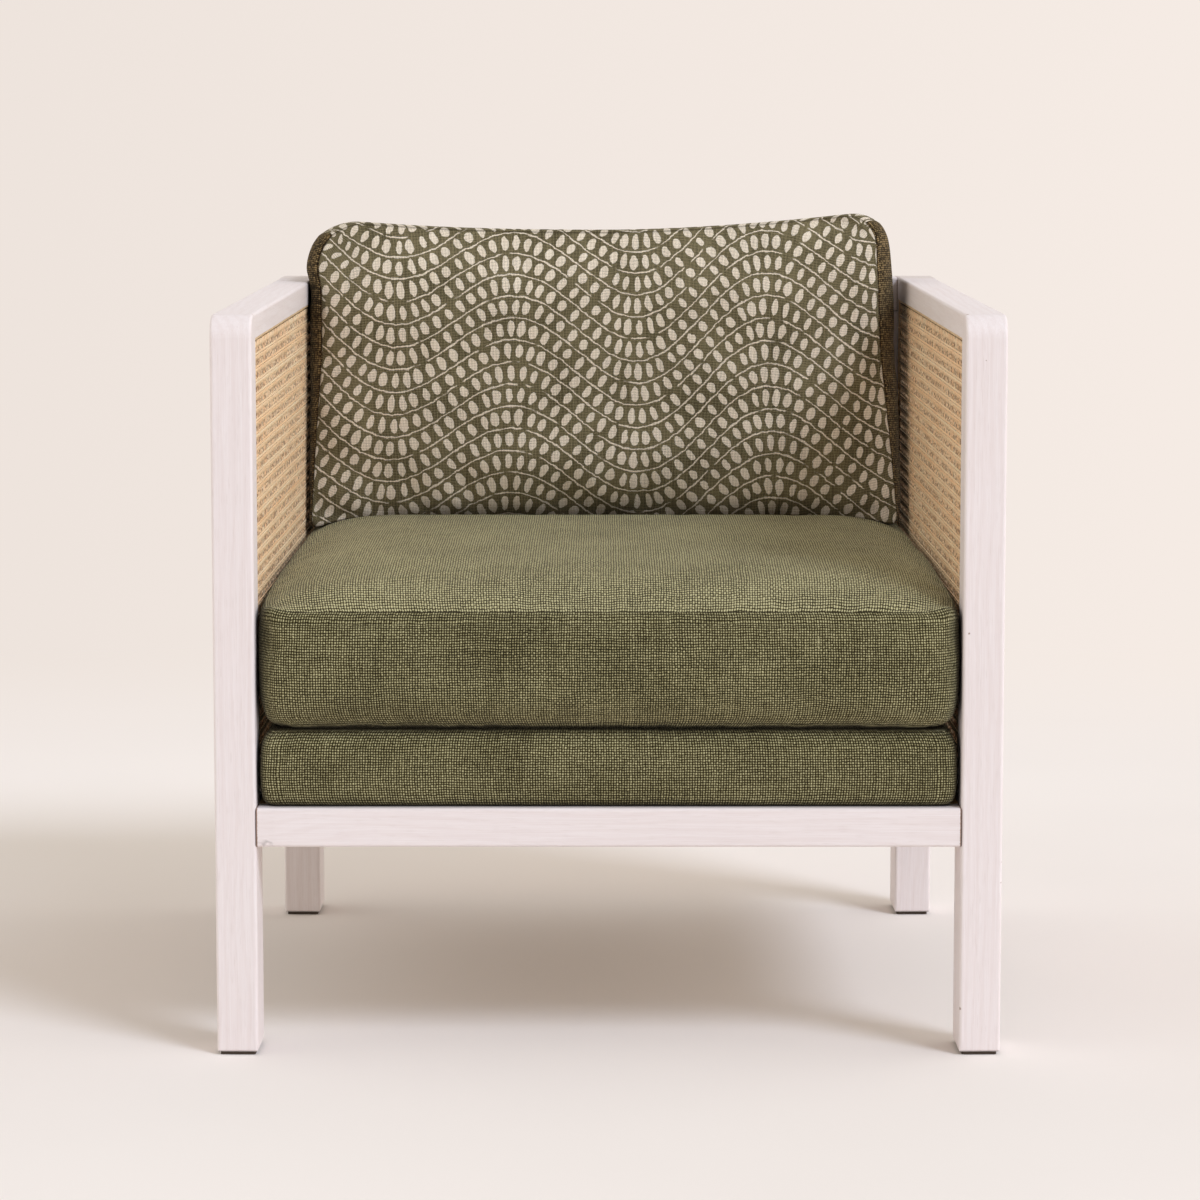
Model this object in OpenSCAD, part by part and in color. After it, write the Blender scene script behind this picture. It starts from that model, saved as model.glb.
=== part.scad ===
// Lounge chair: an open timber frame with woven cane sides and back, an upholstered base pad
// and two loose cushions. Millimetres, +Z up, the front faces -Y, and the origin lies on the
// floor under the middle of the chair.

/* [Side frames] */
// Width over the front posts
front_w = 760; // [680:1:860]
// Length of a side frame from its front face to its rear face
side_l = 750; // [700:1:840]
// Height of the arms above the floor
arm_h = 718; // [670:1:780]
// Angle by which each side frame turns inward towards the rear
splay_a = 1.3; // [0:0.1:3]
// Thickness of a side frame, across the chair
post_w = 40; // [36:1:50]
// Depth of a post, along the side frame
post_d = 60; // [54:1:74]
// Height of an arm rail
arm_rail_h = 38; // [34:1:46]
// Height of the seat rails in the side frames and at the rear
side_rail_h = 60; // [54:1:72]
// Height of the seat rails' undersides above the floor
rail_z = 205; // [180:1:240]
// Radius of the corner where a front post turns into the arm
corner_r = 22; // [12:1:28]
// Radius of the eased timber edges
edge_r = 3; // [1:0.5:4]

/* [Cross rails] */
// Height of the front seat rail
front_rail_h = 38; // [34:1:46]
// Depth of the front seat rail
front_rail_d = 30; // [26:1:36]
// Depth of the rear seat rail, the back stiles and the top back rail
back_bar_d = 34; // [28:1:40]
// Height of the top back rail
top_rail_h = 38; // [34:1:46]
// Width of a back stile at its front face
stile_w = 24; // [20:1:32]

/* [Cane panels] */
// How far a side cane panel laps over the posts
post_lap = 22; // [14:1:26]
// How far a cane panel laps over the rails
rail_lap = 14; // [11:1:18]
// How far the back cane panel laps over its stiles
stile_lap = 14; // [11:1:16]
// Thickness of the woven cane sheet
cane_t = 1.6; // [1.2:0.1:2]
// Depth of the rebate that the cane lies in
rebate_d = 3; // [2.4:0.1:4]
// Depth of the groove round each panel
groove_d = 8; // [7:0.5:10]
// Width of the reed spline in the groove
spline_w = 3.2; // [2.6:0.1:4]
// How far the reed spline lies below the timber's face
spline_sink = 0.5; // [0.2:0.1:1]
// Clearance between the groove's walls and what is pressed into it
groove_gap = 0.1; // [0.05:0.01:0.2]
// Free depth below the cane and the spline in the groove
groove_end = 0.5; // [0.3:0.1:1]

/* [Joinery] */
// Diameter of the dowels
dowel_dia = 8; // [6:0.5:9]
// Depth of a dowel in a post
dowel_in_post = 20; // [14:1:24]
// Depth of a dowel in a rail
dowel_in_rail = 28; // [20:1:34]
// Depth of a dowel in a stile
dowel_in_stile = 13; // [8:1:16]
// Depth of a mitre dowel on each side of the joint
dowel_in_mitre = 12; // [8:0.5:13]
// Distance of the lengthwise dowels from the inner face of a side frame
dowel_line = 24; // [18:0.5:28]
// Radial clearance of a dowel or screw in its hole
hole_gap = 0.1; // [0.05:0.01:0.2]
// Free depth behind the end of a dowel or screw
end_gap = 1; // [0.5:0.1:2]
// Length of a corner block along each rail
block_leg = 84; // [80:1:96]
// Height of a corner block
block_h = 30; // [24:1:34]
// Distance of a block's side screws from its corner
block_screw_at = 60; // [54:1:62]
// Distance of the deck screws from the side frames
deck_screw_at = 24; // [21:1:27]
// Diameter of a screw's shank
screw_dia = 4; // [3:0.1:5]
// Diameter of a screw's head
head_dia = 8; // [7:0.1:9]
// Height of a screw's head
head_h = 3; // [2:0.1:4]
// Length of a screw below its head
screw_l = 33; // [28:1:35]
// Thickness of block timber under a screw's head
block_bite = 15; // [14:0.5:17]

/* [Foot pads] */
// Thickness of the foot pads
pad_t = 3; // [2:0.5:5]
// How far a foot pad lies in from the post's faces
pad_inset = 3; // [2:0.5:6]
// Rounding of a foot pad's corners
pad_r = 3; // [1:0.5:6]

/* [Base pad] */
// Height of the base pad
base_h = 74; // [66:1:84]
// Gap between the base pad and the frame beside and behind it
base_gap = 4; // [2:0.5:8]
// Setback of the base pad from the front of the chair
base_setback = 4; // [3:0.5:10]
// Clearance between soft pieces and what they rest on
rest_gap = 0.3; // [0.2:0.1:0.6]
// Thickness of the cover under the battens and on top of the foam
cover_t = 1.5; // [1.2:0.1:2.5]
// Thickness of the cover and its wadding at the sides
base_wall = 11; // [10:0.5:13]
// Rounding of the base pad's edges
base_round = 9; // [5:0.5:9.5]
// Width of the deck battens
batten_w = 45; // [42:1:50]
// Thickness of the deck battens
batten_t = 20; // [18:1:24]
// Width of the cover's turned-in edge below the battens
cover_turn = 20; // [15:1:30]
// Width of a webbing strap
strap_w = 60; // [40:1:70]
// Thickness of a webbing strap
strap_t = 1.5; // [1:0.1:2]
// Number of straps each way
strap_n = 5; // [3:1:6]
// Thickness of the dust cover
dust_t = 1; // [0.6:0.1:1.2]

/* [Seat cushion] */
// Height of the seat cushion at its seams
seat_h = 116; // [100:1:130]
// Rise of the seat cushion's crown above its seams
seat_crown = 36; // [15:1:42]
// Gap between the seat cushion and each side frame
seat_gap = 6; // [4:0.5:12]
// Setback of the seat cushion from the front of the chair
seat_setback = 4; // [3:0.5:10]
// Gap between the cushions and the back panel
back_gap = 2; // [1.5:0.1:5]
// How far the seat cushion's sides draw in between its corners
seat_draw = 3; // [0:0.5:6]
// Rounding of the seat cushion's corners, in plan
seat_corner = 14; // [8:0.5:18]
// Thickness of the seat cover with its wadding over the core
seat_wall = 16; // [14:0.5:22]

/* [Back cushion] */
// Height of the chair to the middle of the back cushion's top edge
back_top = 774; // [735:1:800]
// Rise of the back cushion's top corners above the middle
back_ears = 12; // [0:0.5:16]
// Gap between the back cushion and each side frame
back_side_gap = 3; // [2:0.5:8]
// Depth of the back cushion at its foot
back_foot_d = 150; // [130:1:170]
// How far the back cushion's front leans back from foot to top
back_lean = 32; // [15:1:40]
// Rise of the back cushion's front panel from its seams
back_crown = 24; // [10:1:32]
// How far the back cushion's sides draw in between its corners
back_draw = 4; // [0:0.5:8]
// Rounding of the back cushion's top corners
back_corner = 28; // [16:0.5:34]
// Rounding of the back cushion's bottom corners
back_foot_corner = 12; // [8:0.5:18]
// Thickness of the back cover with its wadding over the core
back_wall = 26; // [22:0.5:32]

/* [Zips] */
// Width of a zip
zip_w = 9; // [6:0.5:12]
// Depth of the slot that a zip lies in
zip_t = 1.6; // [1.2:0.1:2.4]
// Length of the cushions' zips
zip_l = 520; // [400:10:560]

/* [Hidden] */

$fn = 48;
LEFT = -1;
RIGHT = 1;
FRONT = 1;
REAR = -1;
TIMBER = "Linen";
CANE = "BurlyWood";
REED = "Wheat";
OLIVE = "DarkOliveGreen";
FOAM = "Ivory";
BLACK = "DimGray";
STEEL = "Silver";
// Overlap that carries a cutter past the faces that it cuts
cut = 1;
// A length that outreaches the chair in any direction
span = 2 * front_w;

// Plan of the frame
inner_front = front_w / 2 - post_w * cos(splay_a);
chair_d = (side_l - edge_r) * cos(splay_a) + (post_w - edge_r) * sin(splay_a) + edge_r;
y_front = -chair_d / 2;
back_v = side_l - back_bar_d;
y_back = y_front + back_v * cos(splay_a);
y_rear = y_front + side_l * cos(splay_a);
function inner_x(y) = inner_front - (y - y_front) * tan(splay_a);

// Heights of the frame
front_rail_top = rail_z + front_rail_h;
side_rail_top = rail_z + side_rail_h;
arm_rail_z = arm_h - arm_rail_h;
top_rail_z = arm_h - top_rail_h;
mitre_a = atan2(arm_rail_h, post_d - corner_r);

// Outlines of the grooves round the side panels and the back panel
groove_w = spline_w + cane_t + 2 * groove_gap;
back_open_x = inner_x(y_back) - stile_w;
side_lo = [post_d - post_lap, side_rail_top - rail_lap];
side_hi = [side_l - post_d + post_lap, arm_rail_z + rail_lap];
back_lo = [-back_open_x - stile_lap, side_rail_top - rail_lap];
back_hi = [back_open_x + stile_lap, top_rail_z + rail_lap];

// Heights of the soft pieces
base_z = front_rail_top + rest_gap;
base_top = base_z + base_h;
batten_z = base_z + cover_t;
strap_z = batten_z + batten_t;
foam_z = strap_z + 2 * strap_t;
seat_z = base_top + rest_gap;
seat_seam = seat_z + seat_h;

// Lays children out in a side frame: X outward from its inner face, Y from front to rear
module side(s) {
    mirror([s == LEFT ? 1 : 0, 0, 0])
        translate([inner_front, y_front, 0])
            rotate([0, 0, splay_a])
                children();
}

// Lays children out in the back frame: X rearward from its front face, Y across the chair
module back_frame() {
    translate([0, y_back, 0]) rotate([0, 0, 90]) children();
}

// Turns a flat outline in Y and Z into a solid that runs along X
module along_x(l) {
    rotate([90, 0, 90]) linear_extrude(l) children();
}

// Turns a flat outline in X and Z into a solid that runs along Y
module along_y(l) {
    translate([0, l, 0]) rotate([90, 0, 0]) linear_extrude(l) children();
}

// What an eased edge takes off a square corner
module edge_waste(r) {
    difference() {
        translate([-cut, -cut]) square(r + cut);
        translate([r, r]) circle(r);
    }
}

// A rectangle with eased corners where the list says so, from low left, anticlockwise
module eased_rect(w, h, eased = [true, true, true, true], r = edge_r) {
    corners = [[0, 0], [w, 0], [w, h], [0, h]];
    difference() {
        square([w, h]);
        for (i = [0:3])
            if (eased[i])
                translate(corners[i]) rotate(90 * i) edge_waste(r);
    }
}

// The space between the inner faces of the side frames, kept clear of them by a gap
module between_sides(y0, y1, z0, z1, gap = 0) {
    translate([0, 0, z0]) linear_extrude(z1 - z0) polygon([
        [gap - inner_x(y0), y0], [inner_x(y0) - gap, y0],
        [inner_x(y1) - gap, y1], [gap - inner_x(y1), y1],
    ]);
}

// A rail that runs across the chair between the side frames
module cross_rail(y0, y1, z0, z1) {
    intersection() {
        translate([-span / 2, y0, z0]) along_x(span) eased_rect(y1 - y0, z1 - z0);
        between_sides(y0 - cut, y1 + cut, z0 - cut, z1 + cut);
    }
}

// The rebate and the groove that hold a cane panel
module panel_seat(lo, hi) {
    size = hi - lo;
    translate([-cut, lo.x, lo.y]) cube([cut + rebate_d, size.x, size.y]);
    difference() {
        translate([-cut, lo.x, lo.y]) cube([cut + groove_d, size.x, size.y]);
        translate([-2 * cut, lo.x + groove_w, lo.y + groove_w])
            cube([groove_d + 3 * cut, size.x - 2 * groove_w, size.y - 2 * groove_w]);
    }
}

// A woven sheet whose rim turns down into the groove along its inner wall
module cane_sheet(lo, hi) {
    rim = groove_w - groove_gap - cane_t;
    out_lo = [lo.x + rim, lo.y + rim];
    out = [hi.x - lo.x - 2 * rim, hi.y - lo.y - 2 * rim];
    face = rebate_d - cane_t;
    color(CANE) difference() {
        translate([face, out_lo.x, out_lo.y])
            cube([groove_d - groove_end - face, out.x, out.y]);
        translate([rebate_d, out_lo.x + cane_t, out_lo.y + cane_t])
            cube([groove_d, out.x - 2 * cane_t, out.y - 2 * cane_t]);
    }
}

// Outline of a reed spline: a flat strip with a round top edge, in depth and width
module spline_outline() {
    r = spline_w / 2;
    translate([spline_sink + r, r]) circle(r);
    translate([spline_sink + r, 0]) square([groove_d - groove_end - spline_sink - r, spline_w]);
}

// Four reed splines that lock a cane panel in its groove
module splines(lo, hi) {
    up = hi.y - lo.y - 2 * groove_gap;
    over = hi.x - lo.x - 2 * groove_gap - 2 * spline_w;
    color(REED) {
        for (v = [lo.x + groove_gap, hi.x - groove_gap - spline_w])
            translate([0, v, lo.y + groove_gap]) linear_extrude(up) spline_outline();
        for (w = [lo.y + groove_gap, hi.y - groove_gap - spline_w])
            translate([0, lo.x + groove_gap + spline_w, w])
                along_y(over) spline_outline();
    }
}

// A dowel across a joint at Z = 0, or the hole that it is driven into
module dowel(below, above, bored) {
    gap = bored ? hole_gap : 0;
    end = bored ? end_gap : 0;
    translate([0, 0, -below - end])
        cylinder(d = dowel_dia + 2 * gap, h = below + above + 2 * end);
}

// Dowels that run lengthwise in a side frame
module side_dowels(bored) {
    rear_joint = side_l - post_d;
    rail_levels = [rail_z + 0.2 * side_rail_h, rail_z + 0.75 * side_rail_h];
    arm_levels = [arm_rail_z + 0.25 * arm_rail_h, arm_rail_z + 0.75 * arm_rail_h];
    for (w = rail_levels)
        translate([dowel_line, post_d, w])
            rotate([-90, 0, 0]) dowel(dowel_in_post, dowel_in_rail, bored);
    for (w = concat(rail_levels, arm_levels))
        translate([dowel_line, rear_joint, w])
            rotate([-90, 0, 0]) dowel(dowel_in_rail, dowel_in_post, bored);
    for (u = [0.4, 0.76])
        translate([u * post_w, (post_d + corner_r) / 2, arm_h - arm_rail_h / 2])
            rotate([mitre_a - 90, 0, 0]) dowel(dowel_in_mitre, dowel_in_mitre, bored);
}

// Dowels that run from the cross rails and the stiles into a side frame
module cross_dowels(bored) {
    back_line = side_l - back_bar_d / 2;
    for (k = [0.26, 0.74])
        translate([0, front_rail_d / 2, rail_z + k * front_rail_h])
            rotate([0, 90, 0]) dowel(dowel_in_rail, dowel_in_post, bored);
    for (k = [0.25, 0.7])
        translate([0, back_line, rail_z + k * side_rail_h])
            rotate([0, 90, 0]) dowel(dowel_in_rail, dowel_in_post, bored);
    for (k = [0.26, 0.74])
        translate([0, back_line, top_rail_z + k * top_rail_h])
            rotate([0, 90, 0]) dowel(dowel_in_rail, dowel_in_post, bored);
    for (k = [0.2, 0.8])
        translate([0, back_line, side_rail_top + k * (top_rail_z - side_rail_top)])
            rotate([0, 90, 0]) dowel(dowel_in_stile, dowel_in_post, bored);
}

// A screw with its head below Z = 0 and its shank above, or the hole that it sits in
module screw(bored) {
    gap = bored ? hole_gap : 0;
    end = bored ? end_gap : 0;
    reach = bored ? block_leg : head_h;
    translate([0, 0, -reach]) cylinder(d = head_dia + 2 * gap, h = reach);
    translate([0, 0, -cut]) cylinder(d = screw_dia + 2 * gap, h = cut + screw_l + end);
}

// Height of the corner blocks' side screws
block_mid = front_rail_top - block_h / 2;
// Where the front and rear corner blocks meet the cross rails
block_ends = [[y_front + front_rail_d, FRONT], [y_back, REAR]];

// Screws that hold the corner blocks to the side frames
module block_side_screws(bored) {
    stations = [front_rail_d + block_screw_at, back_v - block_screw_at];
    for (s = [LEFT, RIGHT])
        side(s)
            for (v = stations)
                translate([-block_bite, v, block_mid]) rotate([0, 90, 0]) screw(bored);
}

// Screws that hold the corner blocks to the front and rear seat rails
module block_cross_screws(bored) {
    for (s = [LEFT, RIGHT])
        for (end = block_ends)
            translate([
                s * (inner_x(end[0]) - block_screw_at),
                end[0] + end[1] * block_bite,
                block_mid,
            ])
                rotate([90 * end[1], 0, 0]) screw(bored);
}

// Distance of the deck screws from the inner edges of the front and rear battens
deck_screw_edge = 15;
// Where the front and rear battens end, inside the base cover's sides
batten_y0 = y_front + base_setback + base_wall;
batten_y1 = y_back - base_gap - base_wall;
batten_gap = base_gap + base_wall;

// Screws that hold the deck to the corner blocks from below
module deck_screw_set(bored) {
    rows = [
        batten_y0 + batten_w - deck_screw_edge,
        batten_y1 - batten_w + deck_screw_edge,
    ];
    for (s = [LEFT, RIGHT])
        for (y = rows)
            translate([s * (inner_x(y) - deck_screw_at), y, front_rail_top - block_bite])
                screw(bored);
}

// A post's bar between two heights
module post_bar(z0, z1) {
    translate([0, 0, z0]) linear_extrude(z1 - z0) eased_rect(post_w, post_d);
}

// What rounds the four edges under a post's foot
module foot_waste() {
    for (turn = [0, 1])
        translate([-cut, turn * post_d, pad_t])
            along_x(post_w + 2 * cut) mirror([turn, 0]) edge_waste(edge_r);
    for (turn = [0, 1])
        translate([turn * post_w, -cut, pad_t])
            along_y(post_d + 2 * cut) mirror([turn, 0]) edge_waste(edge_r);
}

// What lies behind the mitre between a front post and its arm rail
module mitre_waste() {
    run = post_d - corner_r;
    translate([-cut, 0, 0]) along_x(post_w + 2 * cut) polygon([
        [corner_r, arm_h],
        [corner_r - run, arm_h + arm_rail_h],
        [side_l, arm_h + arm_rail_h],
        [side_l, arm_rail_z],
        [post_d, arm_rail_z],
    ]);
}

// A front post turns into the arm over a round corner and ends in a mitre
module front_post(s) {
    shoulder = arm_h - corner_r;
    color(TIMBER) difference() {
        side(s) difference() {
            union() {
                post_bar(pad_t, shoulder);
                translate([0, corner_r, shoulder])
                    along_y(post_d - corner_r)
                        eased_rect(post_w, corner_r, [false, false, true, true]);
                translate([0, corner_r, shoulder])
                    rotate([90, 0, 90]) rotate([0, 0, 90])
                        rotate_extrude(angle = 90)
                            eased_rect(corner_r, post_w, [false, true, true, false]);
            }
            mitre_waste();
            foot_waste();
            panel_seat(side_lo, side_hi);
            side_dowels(true);
            cross_dowels(true);
        }
        block_side_screws(true);
    }
}

// A rear post runs from the floor to the top of the arm
module rear_post(s) {
    color(TIMBER) difference() {
        side(s) difference() {
            translate([0, side_l - post_d, 0]) difference() {
                post_bar(pad_t, arm_h);
                foot_waste();
                translate([-cut, post_d, arm_h])
                    along_x(post_w + 2 * cut) rotate(180) edge_waste(edge_r);
                for (turn = [0, 1])
                    translate([turn * post_w, -cut, arm_h])
                        along_y(post_d + 2 * cut) rotate(turn * 90 - 90) edge_waste(edge_r);
            }
            panel_seat(side_lo, side_hi);
            side_dowels(true);
            cross_dowels(true);
        }
        block_side_screws(true);
    }
}

// An arm rail runs from the mitre to the rear post
module arm_rail(s) {
    color(TIMBER) side(s) difference() {
        intersection() {
            translate([0, corner_r, arm_rail_z])
                along_y(side_l - post_d - corner_r) eased_rect(post_w, arm_rail_h);
            mitre_waste();
        }
        panel_seat(side_lo, side_hi);
        side_dowels(true);
    }
}

// A seat rail joins the posts of a side frame
module side_seat_rail(s) {
    color(TIMBER) difference() {
        side(s) difference() {
            translate([0, post_d, rail_z])
                along_y(side_l - 2 * post_d) eased_rect(post_w, side_rail_h);
            panel_seat(side_lo, side_hi);
            side_dowels(true);
        }
        block_side_screws(true);
    }
}

module front_seat_rail() {
    color(TIMBER) difference() {
        cross_rail(y_front, y_front + front_rail_d, rail_z, front_rail_top);
        for (s = [LEFT, RIGHT])
            side(s) cross_dowels(true);
        block_cross_screws(true);
    }
}

module rear_seat_rail() {
    color(TIMBER) difference() {
        cross_rail(y_back, y_rear, rail_z, side_rail_top);
        back_frame() panel_seat(back_lo, back_hi);
        for (s = [LEFT, RIGHT])
            side(s) cross_dowels(true);
        block_cross_screws(true);
    }
}

module back_top_rail() {
    color(TIMBER) difference() {
        cross_rail(y_back, y_rear, top_rail_z, arm_h);
        back_frame() panel_seat(back_lo, back_hi);
        for (s = [LEFT, RIGHT])
            side(s) cross_dowels(true);
    }
}

// A back stile stands against a rear post between the rear seat rail and the top rail
module back_stile(s) {
    x0 = s == LEFT ? -span : back_open_x;
    color(TIMBER) difference() {
        intersection() {
            between_sides(y_back, y_rear, side_rail_top, top_rail_z);
            translate([x0, y_back - cut, 0])
                cube([span - back_open_x * (s == LEFT ? 1 : 0), back_bar_d + 2 * cut, arm_h]);
        }
        back_frame() panel_seat(back_lo, back_hi);
        side(s) cross_dowels(true);
    }
}

// A block under the deck in one corner of the frame
module corner_block(s, y, d) {
    translate([0, 0, front_rail_top - block_h]) linear_extrude(block_h) polygon([
        [s * inner_x(y), y],
        [s * inner_x(y + d * block_leg), y + d * block_leg],
        [s * (inner_x(y) - block_leg), y],
    ]);
}

module corner_blocks() {
    color(TIMBER) difference() {
        for (s = [LEFT, RIGHT])
            for (end = block_ends)
                corner_block(s, end[0], end[1]);
        block_side_screws(true);
        block_cross_screws(true);
        deck_screw_set(true);
    }
}

module side_frame_dowels() {
    color(TIMBER)
        for (s = [LEFT, RIGHT])
            side(s) side_dowels(false);
}

module cross_rail_dowels() {
    color(TIMBER)
        for (s = [LEFT, RIGHT])
            side(s) cross_dowels(false);
}

module corner_block_screws() {
    color(STEEL) {
        block_side_screws(false);
        block_cross_screws(false);
    }
}

module deck_screws() {
    color(STEEL) deck_screw_set(false);
}

// A dark pad under each post
module foot_pads() {
    color(BLACK)
        for (s = [LEFT, RIGHT])
            side(s)
                for (v = [0, side_l - post_d])
                    translate([pad_inset, v + pad_inset, 0])
                        linear_extrude(pad_t)
                            eased_rect(
                                post_w - 2 * pad_inset, post_d - 2 * pad_inset, r = pad_r
                            );
}

module cane_panel_side(s) {
    side(s) cane_sheet(side_lo, side_hi);
}

module cane_panel_back() {
    back_frame() cane_sheet(back_lo, back_hi);
}

module reed_spline_side(s) {
    side(s) splines(side_lo, side_hi);
}

module reed_spline_back() {
    back_frame() splines(back_lo, back_hi);
}

// A batten across the front or the rear of the deck
module deck_batten_cross(y) {
    color(TIMBER) difference() {
        between_sides(y, y + batten_w, batten_z, strap_z, batten_gap);
        deck_screw_set(true);
    }
}

// A batten along one side of the deck
module deck_batten_side(s) {
    y0 = batten_y0 + batten_w;
    y1 = batten_y1 - batten_w;
    color(TIMBER) translate([0, 0, batten_z]) linear_extrude(batten_t) polygon([
        for (p = [[y0, 0], [y1, 0], [y1, batten_w], [y0, batten_w]])
            [s * (inner_x(p[0]) - batten_gap - p[1]), p[0]]
    ]);
}

// Webbing straps from the front batten to the rear batten
module deck_straps_lengthwise() {
    room = 2 * (inner_x(batten_y1) - batten_gap);
    pitch = room / strap_n;
    color(BLACK)
        for (i = [0:strap_n - 1])
            translate([(i + 0.5) * pitch - room / 2 - strap_w / 2, batten_y0, strap_z])
                cube([strap_w, batten_y1 - batten_y0, strap_t]);
}

// Webbing straps from side to side over the lengthwise ones
module deck_straps_crosswise() {
    pitch = (batten_y1 - batten_y0) / strap_n;
    color(BLACK)
        for (i = [0:strap_n - 1]) {
            y = batten_y0 + (i + 0.5) * pitch;
            between_sides(
                y - strap_w / 2, y + strap_w / 2,
                strap_z + strap_t, foam_z, batten_gap
            );
        }
}

module deck_foam() {
    color(FOAM)
        between_sides(batten_y0, batten_y1, foam_z, base_top - cover_t, batten_gap + rest_gap);
}

// Clearance of the dust cover inside the cover's turned-in edge
dust_gap = batten_gap + cover_turn + rest_gap;

module dust_cover() {
    color(BLACK)
        between_sides(
            batten_y0 + cover_turn + rest_gap, batten_y1 - cover_turn - rest_gap,
            batten_z - dust_t, batten_z, dust_gap
        );
}

// Stations across a cushion's panel, as parts of its half width
half_across = [0.25, 0.5, 0.7, 0.82, 0.9, 0.955, 0.985, 1];
across = concat([for (i = [7:-1:0]) -half_across[i]], [0], half_across);
// Stations along the seat cushion from front to rear
along = [0, 0.007, 0.02, 0.045, 0.09, 0.16, 0.26, 0.4, 0.55, 0.7, 0.8, 0.9, 0.965, 0.99, 1];
// Stations up the back cushion
upward = [0, 0.012, 0.04, 0.09, 0.17, 0.3, 0.45, 0.6, 0.75, 0.86, 0.93, 0.97, 0.99, 1];
// Stations along each side of the base pad
square_off = [0, 0.01, 0.02, 0.5, 0.98, 0.99, 1];

// Place of the k-th point on the rim of a panel with so many steps each way
function rim_step(k, nx, ny) =
    k < nx ? [k, 0]
    : k < nx + ny ? [nx, k - nx]
    : k < 2 * nx + ny ? [2 * nx + ny - k, ny]
    : [0, 2 * nx + 2 * ny - k];

// Number of a panel's point, either on the rim or among the inner points
function panel_step(i, j, nx, ny, rim, inner) =
    j == 0 ? rim + i
    : i == nx ? rim + nx + j
    : j == ny ? rim + 2 * nx + ny - i
    : i == 0 ? rim + 2 * nx + 2 * ny - j
    : inner + (j - 1) * (nx - 1) + i - 1;

// Triangles between rings of n points each
function band_faces(rings, n) = [
    for (r = [0:rings - 2], k = [0:n - 1])
        let(a = r * n + k, b = r * n + (k + 1) % n)
            each [[a, a + n, b + n], [a, b + n, b]]
];

// Triangles from one point to a ring of n points
function fan_faces(centre, first, n, up) = [
    for (k = [0:n - 1])
        up ? [centre, first + (k + 1) % n, first + k] : [centre, first + k, first + (k + 1) % n]
];

// A closed skin with a flat foot and a shaped panel over its last ring
module crowned_skin(rings, foot, inner, nx, ny) {
    n = 2 * (nx + ny);
    rim = (len(rings) - 1) * n;
    first = len(rings) * n;
    function at(i, j) = panel_step(i, j, nx, ny, rim, first);
    polyhedron(
        points = concat([for (ring = rings) each ring], inner, [foot]),
        faces = concat(
            fan_faces(first + len(inner), 0, n, false),
            band_faces(len(rings), n),
            [
                for (i = [0:nx - 1], j = [0:ny - 1])
                    each [
                        [at(i, j), at(i, j + 1), at(i + 1, j + 1)],
                        [at(i, j), at(i + 1, j + 1), at(i + 1, j)],
                    ]
            ]
        )
    );
}

// Moves a point near a corner of a rectangle onto a rounded corner
function rounded(p, half, lo, hi, r) =
    let(
        dx = abs(p.x) - half + r,
        low = p.y < (lo + hi) / 2,
        dy = low ? lo + r - p.y : p.y - hi + r
    )
    dx > 0 && dy > 0
        ? let(k = max(dx, dy) / norm([dx, dy]))
            [sign(p.x) * (half - r + k * dx), low ? lo + r - k * dy : hi - r + k * dy]
        : p;

// Half width of a soft piece that stands clear of the side frames and draws in between its ends
function soft_half(y, lo, hi, gap, draw) =
    inner_x(y) - gap - draw * sin(180 * (y - lo) / (hi - lo));

// A point on the outline of a soft piece, in plan
function plan_point(a, s, lo, hi, gap, draw, inset, r) =
    let(
        y = lo + inset + s * (hi - lo - 2 * inset),
        half = soft_half(y, lo, hi, gap, draw) - inset
    )
    rounded([a * half, y], half, lo + inset, hi - inset, r);

// Base pad
base_y0 = y_front + base_setback;
base_y1 = y_back - base_gap;
base_corner = 10;
// Rise and inset of the rings that round the pad's edges, as parts of the rounding
edge_rings = [[0, 1], [0.3, 0.36], [1, 0]];

module base_skin() {
    steps = len(square_off) - 1;
    n = 4 * steps;
    levels = concat(
        [for (e = edge_rings) [base_z + e[0] * base_round, e[1] * base_round]],
        [for (i = [2:-1:0]) let(e = edge_rings[i]) [base_top - e[0] * base_round, e[1] * base_round]]
    );
    rings = [
        for (level = levels) [
            for (k = [0:n - 1])
                let(
                    step = rim_step(k, steps, steps),
                    a = 2 * square_off[step[0]] - 1,
                    p = plan_point(a, square_off[step[1]], base_y0, base_y1, base_gap, 0,
                        level[1], base_corner)
                )
                [p.x, p.y, level[0]]
        ]
    ];
    mid = (base_y0 + base_y1) / 2;
    centres = [[0, mid, base_z], [0, mid, base_top]];
    first = len(rings) * n;
    polyhedron(
        points = concat([for (ring = rings) each ring], centres),
        faces = concat(
            fan_faces(first, 0, n, false),
            band_faces(len(rings), n),
            fan_faces(first + 1, first - n, n, true)
        )
    );
}

// The cover wraps the deck and turns in under the battens
module base_cover() {
    color(OLIVE) difference() {
        base_skin();
        between_sides(batten_y0, batten_y1, batten_z, base_top - cover_t, batten_gap);
        between_sides(
            batten_y0 + cover_turn, batten_y1 - cover_turn,
            base_z - cut, batten_z + cut, batten_gap + cover_turn
        );
        deck_screw_set(true);
    }
}

// Seat cushion
seat_y0 = y_front + seat_setback;
seat_y1 = y_back - back_gap;
seat_steps_x = len(across) - 1;
seat_steps_y = len(along) - 1;
// Inset of the seat cushion's top seam
seat_seam_in = 4;
// Heights of the boxing's rings as parts of its height, and their insets
seat_boxing = [
    [0, 9], [0.03, 4], [0.09, 1], [0.3, 0], [0.7, 0], [0.9, 0.8], [0.98, 2.6], [1, seat_seam_in],
];
// Parts of the cushion's length over which the crown rises in front and falls at the rear
front_roll = 0.4;
rear_roll = 0.035;

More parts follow.
